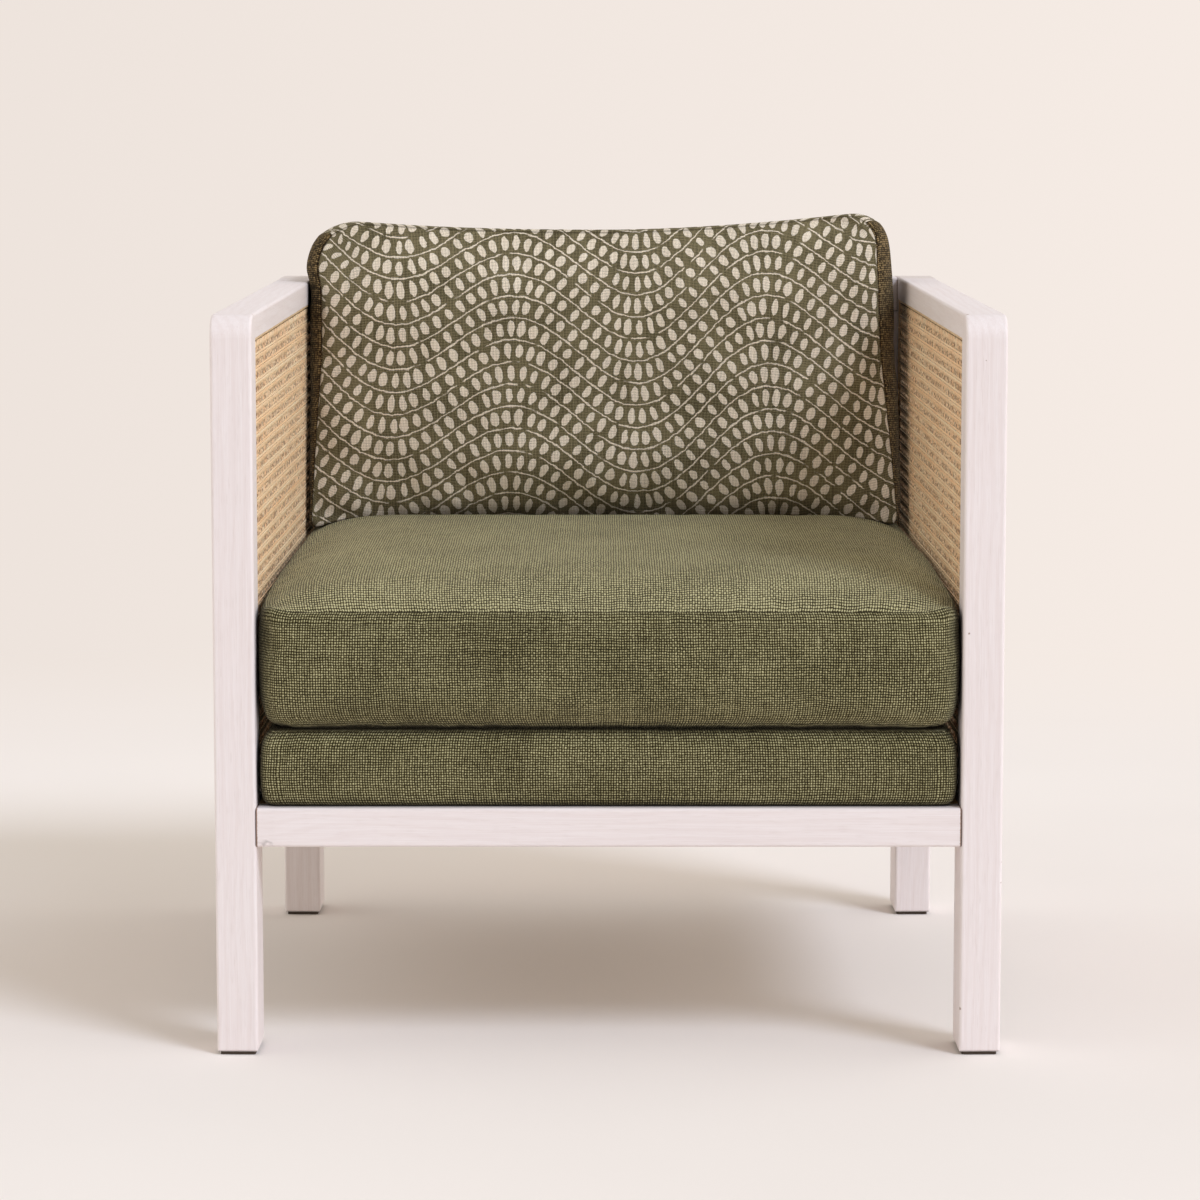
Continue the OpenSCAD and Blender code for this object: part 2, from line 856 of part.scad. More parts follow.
function seat_half(y) =
    soft_half(y, seat_y0, seat_y1, seat_gap, seat_draw) - seat_seam_in;
function crown_across(a) = 1 - pow(abs(a), 8);
function crown_along(s) =
    s < front_roll ? 1 - pow(1 - s / front_roll, 4)
    : s > 1 - rear_roll ? 1 - pow((s - 1 + rear_roll) / rear_roll, 2)
    : 1;
function seat_point(a, s, z, inset) =
    let(p = plan_point(a, s, seat_y0, seat_y1, seat_gap, seat_draw, inset, seat_corner))
    [p.x, p.y, z];
function seat_panel_point(a, s) =
    seat_point(a, s, seat_seam + seat_crown * crown_across(a) * crown_along(s), seat_seam_in);
// Height of the seat where the back cushion stands on it
seat_levels = [for (a = across) [a, seat_seam + seat_crown * crown_across(a)]];

module seat_skin() {
    n = 2 * (seat_steps_x + seat_steps_y);
    rings = [
        for (level = seat_boxing) [
            for (k = [0:n - 1])
                let(step = rim_step(k, seat_steps_x, seat_steps_y))
                seat_point(across[step[0]], along[step[1]], seat_z + level[0] * seat_h, level[1])
        ]
    ];
    inner = [
        for (j = [1:seat_steps_y - 1], i = [1:seat_steps_x - 1])
            seat_panel_point(across[i], along[j])
    ];
    foot = [0, (seat_y0 + seat_y1) / 2, seat_z];
    crowned_skin(rings, foot, inner, seat_steps_x, seat_steps_y);
}

// A zip let into a face that looks rearward
module zip_strip(y, z, bored) {
    gap = bored ? rest_gap / 2 : 0;
    back = bored ? cut : 0;
    translate([-zip_l / 2 - gap, y - zip_t, z - zip_w / 2 - gap])
        cube([zip_l + 2 * gap, zip_t + back, zip_w + 2 * gap]);
}

seat_zip_z = seat_z + seat_h / 2;

module seat_cushion_cover() {
    color(OLIVE) difference() {
        seat_skin();
        between_sides(
            seat_y0 + seat_wall, seat_y1 - seat_wall,
            seat_z + seat_wall / 2, seat_seam - seat_wall / 2, seat_gap + seat_wall
        );
        zip_strip(seat_y1, seat_zip_z, true);
    }
}

module seat_cushion_core() {
    wall = seat_wall + rest_gap;
    color(FOAM)
        between_sides(
            seat_y0 + wall, seat_y1 - wall,
            seat_z + seat_wall / 2 + rest_gap, seat_seam - seat_wall / 2 - rest_gap,
            seat_gap + wall
        );
}

module seat_cushion_zip() {
    color(OLIVE) zip_strip(seat_y1, seat_zip_z, false);
}

// Back cushion
back_y = y_back - back_gap;
back_steps_x = len(across) - 1;
back_steps_z = len(upward) - 1;
// Height by which the back cushion's rounding is measured
back_h = back_top - seat_seam - seat_crown;
// Share of the half width that keeps to the seat's own stations
back_level_part = 0.82;
// Inset of the front panel's side seams, and lift of the bottom corners off the seat
back_seam_in = 15;
back_lift = 2;
// Rings of the boxing from rear to front: part of the depth, side inset and top inset
back_boxing = [
    [0, 12, 8], [0.03, 6, 5], [0.09, 2.5, 4], [0.28, 0, 3], [0.62, 0, 3],
    [0.82, 2.5, 2], [0.94, 8, 1], [1, back_seam_in, 0],
];

function outer_part(a) = max(0, (abs(a) - back_level_part) / (1 - back_level_part));
function back_depth(b) = back_foot_d - back_lean * b;
function back_point(a, b, part, inset, drop, rise) =
    let(
        y = back_y - part * back_depth(b),
        half = inner_x(y) - back_side_gap - back_draw * sin(180 * b) - inset,
        x = a * seat_half(y) + sign(a) * outer_part(a) * (half - seat_half(y)),
        r = b < 0.5 ? back_foot_corner : back_corner,
        p = rounded([x, b * back_h], half, 0, back_h, r),
        low = lookup(p.x / seat_half(y), seat_levels) + rest_gap + back_lift * outer_part(a),
        high = back_top + back_ears * pow(abs(a), 3) - drop
    )
    [p.x, y - rise, low + (high - low) * p.y / back_h];
function back_panel_point(a, b) =
    back_point(a, b, 1, back_seam_in, 0,
        back_crown * (1 - pow(abs(a), 4)) * (1 - pow(abs(2 * b - 1), 4)));

module back_skin() {
    n = 2 * (back_steps_x + back_steps_z);
    rings = [
        for (level = back_boxing) [
            for (k = [0:n - 1])
                let(step = rim_step(k, back_steps_x, back_steps_z))
                back_point(across[step[0]], upward[step[1]], level[0], level[1], level[2], 0)
        ]
    ];
    inner = [
        for (j = [1:back_steps_z - 1], i = [1:back_steps_x - 1])
            back_panel_point(across[i], upward[j])
    ];
    crowned_skin(rings, [0, back_y, back_top - back_h / 2], inner, back_steps_x, back_steps_z);
}

// The hollow in the back cover, or the core that fills it
module back_block(wall) {
    z0 = seat_seam + seat_crown + wall / 2;
    z1 = back_top - wall;
    half = inner_x(y_back) - back_side_gap - back_draw - back_seam_in - wall;
    translate([-half, 0, 0]) along_x(2 * half) polygon([
        [back_y - back_foot_d + wall, z0],
        [back_y - wall / 2, z0],
        [back_y - wall / 2, z1],
        [back_y - back_depth(1) + wall, z1],
    ]);
}

back_zip_z = back_top - 0.8 * back_h;

module back_cushion_cover() {
    color(OLIVE) difference() {
        back_skin();
        back_block(back_wall);
        zip_strip(back_y, back_zip_z, true);
    }
}

module back_cushion_core() {
    color(FOAM) back_block(back_wall + 2 * rest_gap);
}

module back_cushion_zip() {
    color(OLIVE) zip_strip(back_y, back_zip_z, false);
}

module front_post_left() {
    front_post(LEFT);
}

module front_post_right() {
    front_post(RIGHT);
}

module rear_post_left() {
    rear_post(LEFT);
}

module rear_post_right() {
    rear_post(RIGHT);
}

module arm_rail_left() {
    arm_rail(LEFT);
}

module arm_rail_right() {
    arm_rail(RIGHT);
}

module side_seat_rail_left() {
    side_seat_rail(LEFT);
}

module side_seat_rail_right() {
    side_seat_rail(RIGHT);
}

module back_stile_left() {
    back_stile(LEFT);
}

module back_stile_right() {
    back_stile(RIGHT);
}

module cane_panel_left() {
    cane_panel_side(LEFT);
}

module cane_panel_right() {
    cane_panel_side(RIGHT);
}

module reed_spline_left() {
    reed_spline_side(LEFT);
}

module reed_spline_right() {
    reed_spline_side(RIGHT);
}

module deck_batten_front() {
    deck_batten_cross(batten_y0);
}

module deck_batten_rear() {
    deck_batten_cross(batten_y1 - batten_w);
}

module deck_batten_left() {
    deck_batten_side(LEFT);
}

module deck_batten_right() {
    deck_batten_side(RIGHT);
}

front_post_left();
front_post_right();
rear_post_left();
rear_post_right();
arm_rail_left();
arm_rail_right();
side_seat_rail_left();
side_seat_rail_right();
front_seat_rail();
rear_seat_rail();
back_top_rail();
back_stile_left();
back_stile_right();
cane_panel_left();
cane_panel_right();
cane_panel_back();
reed_spline_left();
reed_spline_right();
reed_spline_back();
side_frame_dowels();
cross_rail_dowels();
corner_blocks();
corner_block_screws();
deck_screws();
foot_pads();
deck_batten_front();
deck_batten_rear();
deck_batten_left();
deck_batten_right();
deck_straps_lengthwise();
deck_straps_crosswise();
deck_foam();
base_cover();
dust_cover();
seat_cushion_cover();
seat_cushion_core();
seat_cushion_zip();
back_cushion_cover();
back_cushion_core();
back_cushion_zip();
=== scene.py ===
import math

import bmesh
import bpy
import mathutils
import numpy as np
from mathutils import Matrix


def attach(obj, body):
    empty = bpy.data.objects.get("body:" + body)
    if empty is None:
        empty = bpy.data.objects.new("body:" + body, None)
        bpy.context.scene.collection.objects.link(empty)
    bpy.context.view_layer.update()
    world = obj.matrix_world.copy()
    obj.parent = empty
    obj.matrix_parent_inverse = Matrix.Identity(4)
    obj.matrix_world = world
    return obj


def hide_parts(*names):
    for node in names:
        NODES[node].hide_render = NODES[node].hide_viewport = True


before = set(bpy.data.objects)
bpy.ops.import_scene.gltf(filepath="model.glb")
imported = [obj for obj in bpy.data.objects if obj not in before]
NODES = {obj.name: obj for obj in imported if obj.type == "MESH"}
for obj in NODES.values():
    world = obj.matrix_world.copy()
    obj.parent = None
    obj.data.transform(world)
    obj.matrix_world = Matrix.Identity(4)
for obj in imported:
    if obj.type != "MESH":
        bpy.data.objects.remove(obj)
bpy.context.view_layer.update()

# Sizes shared with the solids
SPLAY = math.radians(1.3)
FRONT_W, SIDE_L, ARM_H = 0.760, 0.750, 0.718
POST_W, POST_D = 0.040, 0.060
ARM_RAIL_H, BACK_RAIL_H, BACK_BAR_D = 0.038, 0.038, 0.034
STILE_W = 0.024
CANE_FOOT = 0.265
EDGE_R, CORNER_R = 0.003, 0.022
POST_LAP, RAIL_LAP, STILE_LAP = 0.022, 0.014, 0.014
INNER = FRONT_W / 2 - POST_W * math.cos(SPLAY)
Y_FRONT = -((SIDE_L - EDGE_R) * math.cos(SPLAY) + (POST_W - EDGE_R) * math.sin(SPLAY) + EDGE_R) / 2
Y_BACK = Y_FRONT + (SIDE_L - BACK_BAR_D) * math.cos(SPLAY)
SEAT_Z, SEAT_SEAM = 0.3176, 0.4336
BASE_Z, BASE_TOP = 0.2433, 0.3173
FULL_TURN = 2 * math.pi


def inner_x(y):
    """Half the clear width between the side frames."""
    return INNER - (y - Y_FRONT) * math.tan(SPLAY)


def configure(owner, **values):
    for key, value in values.items():
        setattr(owner, key, value)


# Node trees
class Value:
    """A node's output, which takes + - * and / as a number or a vector does."""

    def __init__(self, tree, socket):
        self.tree = tree
        self.socket = socket

    def combine(self, operation, a, b):
        if self.socket.type == "VALUE":
            return self.tree.math(operation, a, b)
        if operation == "MULTIPLY" and not isinstance(b, tuple):
            return self.tree.vector("SCALE", a, scale=b)
        return self.tree.vector(operation, a, b)

    def __add__(self, other):
        return self.combine("ADD", self, other)

    def __sub__(self, other):
        return self.combine("SUBTRACT", self, other)

    def __rsub__(self, other):
        return self.combine("SUBTRACT", other, self)

    def __mul__(self, other):
        return self.combine("MULTIPLY", self, other)

    def __truediv__(self, other):
        return self.combine("DIVIDE", self, other)

    def __abs__(self):
        return self.tree.math("ABSOLUTE", self)


class Tree:
    """Builds the nodes of a material or of the world."""

    def __init__(self, owner):
        owner.use_nodes = True
        self.nodes = owner.node_tree.nodes
        self.links = owner.node_tree.links
        self.nodes.clear()

    def put(self, socket, value):
        if isinstance(value, Value):
            self.links.new(value.socket, socket)
        elif value is not None:
            socket.default_value = value

    def node(self, kind, values=(), out=0, props=(), **sockets):
        """A node with values for its first inputs, and others by name."""
        made = self.nodes.new("ShaderNode" + kind)
        configure(made, **dict(props))
        for socket, value in zip(made.inputs, values):
            self.put(socket, value)
        for key, value in sockets.items():
            self.put(made.inputs[key], value)
        return Value(self, made.outputs[out])

    def math(self, operation, *values):
        return self.node("Math", values, props={"operation": operation})

    def vector(self, operation, a, b=None, scale=None):
        out = "Value" if operation in ("DISTANCE", "LENGTH") else "Vector"
        return self.node("VectorMath", (a, b, None, scale), out, {"operation": operation})

    def xyz(self, vector):
        made = self.nodes.new("ShaderNodeSeparateXYZ")
        self.put(made.inputs[0], vector)
        return [Value(self, output) for output in made.outputs]

    def join(self, x, y, z):
        return self.node("CombineXYZ", (x, y, z))

    def noise(self, vector, scale, detail=2.0, rough=0.5, out="Fac"):
        return self.node("TexNoise", out=out, Vector=vector, Scale=scale, Detail=detail, Roughness=rough)

    def jitter(self, vector, scale, detail, reach):
        """A small seeded shift in every direction."""
        return (self.noise(vector, scale, detail, out="Color") - (0.5, 0.5, 0.5)) * reach

    def white(self, vector):
        return self.node("TexWhiteNoise", Vector=vector)

    def mix(self, factor, a, b):
        """Colour a turning into colour b, which are the seventh and eighth inputs."""
        values = [factor] + [None] * 5 + [rgb(a), rgb(b)]
        return self.node("Mix", values, out=2, props={"data_type": "RGBA"})

    def span(self, value, low, high, out_low=0.0, out_high=1.0, smooth=False):
        way = {"interpolation_type": "SMOOTHSTEP" if smooth else "LINEAR"}
        return self.node("MapRange", (value, low, high, out_low, out_high), props=way)

    def bump(self, height, distance, strength):
        return self.node("Bump", Height=height, Distance=distance, Strength=strength)


class Material(Tree):
    """A node material around one principled shader."""

    def __init__(self, name):
        self.material = bpy.data.materials.new(name)
        super().__init__(self.material)
        self.out = self.nodes.new("ShaderNodeOutputMaterial")
        self.shader = self.nodes.new("ShaderNodeBsdfPrincipled")
        self.links.new(self.shader.outputs[0], self.out.inputs[0])

    def finish(self, color, roughness, normal=None, **others):
        self.put(self.shader.inputs["Base Color"], rgb(color))
        self.put(self.shader.inputs["Roughness"], roughness)
        self.put(self.shader.inputs["Normal"], normal)
        for key, value in others.items():
            self.shader.inputs[key.replace("_", " ")].default_value = value
        return self.material


def rgb(value):
    """A colour written as the picture shows it, #rrggbb, as the linear numbers a shader takes."""
    if not isinstance(value, str):
        return value
    out = []
    for i in (1, 3, 5):
        c = int(value[i:i + 2], 16) / 255
        out.append(c / 12.92 if c <= 0.04045 else ((c + 0.055) / 1.055) ** 2.4)
    return (*out, 1.0)


def object_point(t):
    return t.node("TexCoord", out="Object")


def cloth_point(t):
    """The flat cloth's own coordinates, stored with the mesh; the third tells how near a seam is."""
    return t.node("Attribute", out="Vector", props={"attribute_name": "cloth"})


def contact_shade(t, reach, deep, full=0.85):
    """Painted shade from nearby pieces: 1 in the open, falling to deep where the surface lies close under
    or beside another.
    """
    open_part = t.node("AmbientOcclusion", out=1, props={"samples": 6}, Distance=reach)
    return t.span(open_part, 0.10, full, deep, 1.0)


# Timber

# Knocks in the wash: place in metres and radius
SPECKS = [
    ((0.3425, -0.3560, 0.7170), 0.0022), ((-0.3410, -0.3480, 0.7165), 0.0018),
    ((-0.3797, -0.3660, 0.7040), 0.0020), ((0.3405, -0.3745, 0.0460), 0.0018),
    ((0.3458, -0.3753, 0.4130), 0.0013), ((0.3782, -0.3720, 0.1900), 0.0022),
    ((0.3785, -0.3725, 0.1700), 0.0018), ((0.3782, -0.3722, 0.1450), 0.0016),
    ((-0.3405, -0.3560, 0.6900), 0.0012), ((0.3590, -0.3753, 0.6750), 0.0009),
]
KNOT = (-0.3305, -0.3750, 0.2095)


def drawn_out(t, axes, across, along, detail, rough=0.5):
    """Noise drawn out along the grain, which runs along the last of the axes."""
    side, depth, run = axes
    return t.noise(t.join(side * across, depth * across, run * along), 1, detail, rough)


def timber(name, grain, tone=0, joints=0):
    """Whitewashed timber. grain is the axis the grain runs along, or 'turn' for a front post."""
    t = Material(name)
    p = object_point(t)
    x, y, z = t.xyz(p)
    if grain == "turn":
        # The grain stands upright in the post and lies along the arm beyond the mitre
        line = y + z - (Y_FRONT + CORNER_R + ARM_H)
        over = t.span(line, -0.004, 0.004, smooth=True)
        run = z * (1 - over) + y * over
        depth = y * (1 - over) + z * over
        side = x
    else:
        run, side, depth = {"x": (x, z, y), "y": (y, x, z), "z": (z, x, y)}[grain]
    axes = (side, depth, run)
    wander = drawn_out(t, axes, 20, 5, 3)
    # Growth rings cut lengthwise: broad, wandering bands
    ring = side * 105 + depth * 60 + wander * 3.4
    ring = t.span(t.math("SINE", ring * FULL_TURN), -0.2, 1, smooth=True)
    fine = drawn_out(t, axes, 900, 16, 3, 0.6)
    streak = drawn_out(t, axes, 240, 3.5, 2)
    pores = t.span(drawn_out(t, axes, 1500, 60, 0), 0.66, 0.76)
    cloud = t.noise(p, 7, 2)
    color = t.mix(t.span(fine, 0.3, 0.7), "#E9DEDD", "#EFE6E6")
    layers = [(ring * 0.2, "#DFD0CD"), (t.span(streak, 0.52, 0.8) * 0.24, "#DCCCC9"),
              (pores * 0.16, "#CDBBB5"), (t.span(cloud, 0.35, 0.75, 0, 0.12), "#E4D3CD"), (tone, "#C9B7A8")]
    for amount, tint in layers:
        color = t.mix(amount, color, tint)
    if grain == "z":
        # End grain takes the wash less evenly and stays warmer
        facing = t.xyz(t.node("NewGeometry", out="Normal"))[2]
        ends = t.span(abs(facing), 0.85, 0.95)
        pith = t.noise(t.join(x * 260, y * 60, 0), 1, 3)
        color = t.mix(ends * t.span(pith, 0.2, 0.8, 0.25, 0.75), color, "#D8CBC2")
    # Warm timber shows through the wash at a few knocks
    worn = None
    for place, radius in SPECKS:
        far = t.vector("DISTANCE", p + t.jitter(p, 700, 1, 0.0014), place)
        spot = t.span(far, radius, radius * 0.4, smooth=True)
        worn = spot if worn is None else t.math("MAXIMUM", worn, spot)
    color = t.mix(worn * 0.8, color, "#8F6E5B")
    if joints:
        # The glue line at each end of a rail has opened a hair
        gap = INNER - abs(x) - (y - Y_FRONT) * math.tan(SPLAY)
        rough_line = t.noise(p, 900, 1) * 0.0012
        line = t.span(gap, rough_line + 0.0008, rough_line + 0.0003)
        color = t.mix(line * joints, color, "#7E5A45")
        # A small grey knot low down near the left end
        from_knot = p + t.jitter(p, 160, 2, 0.012) - KNOT
        knot = t.vector("LENGTH", from_knot * (0.55, 0.2, 1.4))
        color = t.mix(t.span(knot, 0.0042, 0.0006, 0, 0.5), color, "#8E8480")
    # Painted shade: the timber darkens where it lies close under or beside another piece
    color = t.mix(contact_shade(t, 0.010, 0.14, 0.56), "#1F1610", color)
    normal = t.bump(fine * 0.7 + pores * -0.9 + ring * -0.25, 0.00018, 0.55)
    rough = t.span(fine + cloud * 0.5, 0.4, 1.1, 0.46, 0.62)
    return t.finish(color, rough, normal, Specular_IOR_Level=0.4)


def raw_timber(name, axis, light, dark):
    """Unfinished timber inside the frame."""
    t = Material(name)
    axes = t.xyz(object_point(t))
    axes.append(axes.pop("xyz".index(axis)))
    grain = drawn_out(t, axes, 260, 6, 4, 0.6)
    bands = drawn_out(t, axes, 60, 2, 2)
    color = t.mix(t.span(grain + bands, 0.7, 1.3), light, dark)
    return t.finish(color, 0.75, t.bump(grain, 0.0002, 0.6))


# Woven cloth
def weave(t, pitch, waver):
    """A plain weave from the flat cloth's coordinates, with threads pitch apart that wander by waver.

    Gives those coordinates, the height, the two threads' whole numbers, both with their
    fractions, and 1 where an upright thread is on top."""
    flat = cloth_point(t)
    level_flat = flat * (1, 1, 0)
    drift = t.jitter(level_flat, 34, 2, pitch * waver)
    close = t.jitter(level_flat, 300, 1, pitch * 0.5)
    counted = t.xyz((level_flat + drift + close) * (1 / pitch))
    u, v = counted[0], counted[1]
    iu, iv = t.math("FLOOR", u), t.math("FLOOR", v)
    cu = t.math("COSINE", (t.math("FRACT", u) - 0.5) * math.pi)
    cv = t.math("COSINE", (t.math("FRACT", v) - 0.5) * math.pi)
    # A large even number keeps the sum above nothing, where the remainder is plain
    odd = t.math("GREATER_THAN", t.math("MODULO", iu + iv + 20000, 2), 0.5)
    warp = t.math("POWER", cu, 0.8) * (cv * 0.62 + 0.38)
    weft = t.math("POWER", cv, 0.8) * (cu * 0.62 + 0.38)
    height = warp * odd + weft * (1 - odd)
    return flat, height, iu, iv, u, v, odd


def cloth(name, pitch=0.00252, low="#1A1608", mid="#645C39", high="#C6BF95", fuzz=1, lift=0,
          twill=0.10, fleck=0.14, crisp=1, reach=0.026, deep=0.24):
    """Coarse plain weave in mixed olive yarns with slubs."""
    t = Material(name)
    flat, height, iu, iv, u, v, odd = weave(t, pitch, 1)
    # Every thread has its own shade, which changes slowly along it
    up = t.noise(t.join(iu * 3.7, v * 0.035, 0), 1, 3, 0.65)
    over = t.noise(t.join(u * 0.035, iv * 3.7, 8), 1, 3, 0.65)
    thread = up * odd + over * (1 - odd)
    both = up * 0.5 + over * 0.5
    shade = thread * 0.55 + both * 0.45
    shade = t.span(shade, 0.28, 0.72, -0.11, 0.11)
    flecks = t.white(t.join(iu, iv, 3)) - 0.5
    cloud = t.noise(flat, 11, 3) - 0.5
    # In places one set of threads stands out, which draws diagonal rows
    proud = t.span(t.noise(flat, 21, 2), 0.42, 0.64, 0, twill)
    proud = (odd - 0.5) * proud
    crisped = t.math("MULTIPLY_ADD", height - 0.62, crisp, 0.62)
    # lift paints light over the whole cloth, for the lit copy on the cushion's top
    level = crisped + shade + proud + flecks * fleck + cloud * 0.3 + lift
    dark = t.span(level, 0.27, 0.63)
    bright = t.span(level, 0.63, 1.06)
    color = t.mix(bright, t.mix(dark, low, mid), high)
    slub = t.span(t.math("MAXIMUM", up, over), 0.7, 0.8)
    color = t.mix(slub * 0.28, color, high)
    # Painted shade in the seams' valleys and close to other pieces
    color = seam_and_contact_shade(t, color, low, 0.0016, 0.5, reach, deep)
    fibre = t.noise(flat, 2600, 1)
    normal = t.bump(height + fibre * 0.22 + slub * 0.35, 0.0009, 0.85)
    return t.finish(color, 0.92, normal, Sheen_Weight=0.22 * fuzz, Sheen_Roughness=0.45,
                    Sheen_Tint=rgb("#D6CDAE"), Specular_IOR_Level=0.15)


def seam_and_contact_shade(t, color, seam_shade_color, seam_width, seam_part, reach, deep, painted_shade="#0B0903"):
    """Paints shade on a cloth in the shallow valley of its seams and close to other pieces."""
    seam_shade = t.span(t.xyz(cloth_point(t))[2], 0, seam_width, seam_part, 0)
    return t.mix(contact_shade(t, reach, deep), painted_shade, t.mix(seam_shade, color, seam_shade_color))


# The print's rows of seeds, in metres on the flat cloth
PRINT_PITCH = 0.00165
ROW_STEP = 0.0235
WAVE_LENGTH, WAVE_RISE = 0.285, 0.036
SWELL_LENGTH, SWELL_RISE = 0.61, 0.011
SEED_STEP, SEED_LONG_HALF, SEED_WIDE_HALF = 0.0128, 0.0074, 0.0036


def printed(name):
    """Printed linen: cream seeds in waving rows between thin cream lines, on olive."""
    t = Material(name)
    flat, height, iu, iv, u, v, odd = weave(t, PRINT_PITCH, 0.8)
    place = t.xyz(flat + t.jitter(flat, 95, 2, 0.0042) + t.jitter(flat, 620, 1, 0.0013))
    px, py = place[0], place[1]
    # The rows wave: a tall wave and a longer, low one
    k1, k2 = FULL_TURN / WAVE_LENGTH, FULL_TURN / SWELL_LENGTH
    a1 = px * k1 + 0.7
    a2 = px * k2 + 2.1
    rise = t.math("SINE", a1) * WAVE_RISE + t.math("SINE", a2) * SWELL_RISE
    slope = t.math("COSINE", a1) * (-WAVE_RISE * k1) + t.math("COSINE", a2) * (-SWELL_RISE * k2)
    root = t.math("SQRT", slope * slope + 1)
    lift = (py + rise) / ROW_STEP
    row = t.math("FLOOR", lift)
    part = t.math("FRACT", lift) - 0.5
    off = part * ROW_STEP / root
    foot = px + off * slope / root
    # Seeds stand side by side in each row, each with its own size and place
    step = foot / SEED_STEP + t.white(t.join(row, 1, 4)) * 7
    seat = t.math("FLOOR", step)
    along = (t.math("FRACT", step) - 0.5) * SEED_STEP * root
    chance = t.white(t.join(row, seat, 9))
    other = t.white(t.join(seat, row, 2))
    along = along + (other - 0.5) * 0.0022
    long_half = (chance * 0.0018 + SEED_LONG_HALF) / root
    wide_half = other * 0.0014 + SEED_WIDE_HALF
    q = off / long_half
    bulge = t.math("SQRT", t.math("MAXIMUM", 1 - q * q, 0))
    bulge = bulge - t.math("GREATER_THAN", abs(q), 1)
    seed = t.span(wide_half * bulge - abs(along), -0.00015, 0.00035)
    # A thin line runs between the rows, thicker and thinner, with gaps
    edge = (0.5 - abs(part)) * ROW_STEP / root
    stroke = t.noise(flat, 60, 1) * 0.0011 + 0.00016
    line = t.span(stroke - edge, -0.0002, 0.0002)
    line = line * t.span(t.noise(flat, 46, 2), 0.60, 0.66, 1, 0)
    ink = t.math("MAXIMUM", seed, line)
    # The print is thin: threads show through it and it skips here and there
    thin = t.noise(flat, 900, 2, 0.7) * 0.55 + height * 0.55 + t.noise(flat, 22, 2) * 0.35
    ink = ink * t.span(thin, 0.4, 0.64)
    shade = t.noise(t.join(iu * 3.1, v * 0.03, 0), 1, 2)
    level = height + (shade - 0.5) * 0.5 + (t.noise(flat, 14, 3) - 0.5) * 0.5
    ground = t.mix(t.span(level, 0.22, 0.92), "#1E180A", "#988C6A")
    cream = t.mix(t.span(level, 0.15, 0.75), "#BCA98A", "#FFF3E2")
    color = t.mix(ink, ground, cream)
    # Painted shade in the seams' valleys and close to other pieces
    color = seam_and_contact_shade(t, color, "#2A2113", 0.0018, 0.55, 0.030, 0.24, "#0E0A05")
    normal = t.bump(height + ink * 0.5, 0.00045, 0.8)
    return t.finish(color, 0.9, normal, Sheen_Weight=0.12, Sheen_Roughness=0.5,
                    Sheen_Tint=rgb("#D8CCB0"), Specular_IOR_Level=0.15)


# Cane, reed and small pieces
def cane_material(name):
    t = Material(name)
    p = object_point(t)
    # The strand's number, the length along it, and how much painted shade it takes
    number, run, shade = t.xyz(cloth_point(t))
    strand = t.white(t.join(number, 2, 5))
    along = t.noise(t.join(number * 7.3, run * 14, 0), 1, 3)
    cloud = t.noise(p, 9, 2)
    color = t.mix(strand, "#FFD6A8", "#FFECCA")
    color = t.mix(t.span(along, 0.45, 0.75, 0, 0.5), color, "#EDB47E")
    color = t.mix(t.span(cloud, 0.4, 0.75, 0, 0.25), color, "#F2C18E")
    fibre = t.noise(p, 1900, 1)
    color = t.mix(t.span(fibre, 0.5, 0.8, 0, 0.25), color, "#BF9470")
    # Painted shade: strands darken down their sides and where they pass under others
    painted_shade = t.span(shade, 0.2, 0.8) * t.span(t.noise(p, 330, 2), 0.4, 0.58, 0.22, 1)
    color = t.mix(painted_shade, color, "#552A0C")
    # Painted shade close to other pieces
    color = t.mix(contact_shade(t, 0.0300, 0.05, 0.34), "#1E1108", color)
    return t.finish(color, 0.45, t.bump(fibre, 0.0002, 0.5), Specular_IOR_Level=0.40)


def reed_material(name):
    t = Material(name)
    p = object_point(t)
    fine = t.noise(p * (700, 60, 60), 1, 2)
    cloud = t.noise(p, 30, 2)
    color = t.mix(t.span(fine + cloud, 0.7, 1.3), "#EBD0A9", "#D2AE82")
    return t.finish(color, 0.45, t.bump(fine, 0.0001, 0.5))


def two_toned(name, pattern, low, high, roughness, distance, strength):
    """Two colours that follow a pattern, which is the relief too."""
    t = Material(name)
    shade = pattern(t, object_point(t))
    return t.finish(t.mix(shade, low, high), roughness, t.bump(shade, distance, strength))


def speckled(scale, detail, rough):
    return lambda t, p: t.noise(p, scale, detail, rough)


def ribbed(t, p):
    x, y, _ = t.xyz(p)
    return t.span(t.math("SINE", (x + y) * 2600), -1, 1)


def steel(name):
    t = Material(name)
    brushed = t.noise(object_point(t) * (900, 900, 120), 1, 2)
    return t.finish(t.mix(brushed, "#9A968C", "#C9C6BC"), t.span(brushed, 0.3, 0.7, 0.28, 0.45),
                    t.bump(brushed, 0.00005, 0.4), Metallic=1)


def dust_material(name):
    t = Material(name)
    p = object_point(t)
    x, y, _ = t.xyz(p)
    weft = t.math("SINE", x * 4200) * t.math("SINE", y * 4200)
    color = t.mix(t.span(t.noise(p, 60, 3), 0.4, 0.8), "#BDB3A4", "#A89D8E")
    return t.finish(color, 0.95, t.bump(weft, 0.0002, 0.5))


def zip_material(name):
    t = Material(name)
    x, _, z = t.xyz(object_point(t))
    teeth = t.math("SINE", x * 2100)
    across = abs(t.math("SINE", z * 340))
    color = t.mix(t.span(teeth, -0.2, 0.5), "#2A2B18", "#4B4C2E")
    return t.finish(color, 0.55, t.bump(teeth + across, 0.0006, 0.8))


def paint(material, *names):
    for name in names:
        mesh = NODES[name].data
        mesh.materials.clear()
        mesh.materials.append(material)


def left_right(*names):
    return [name + side for name in names for side in ("_left", "_right")]


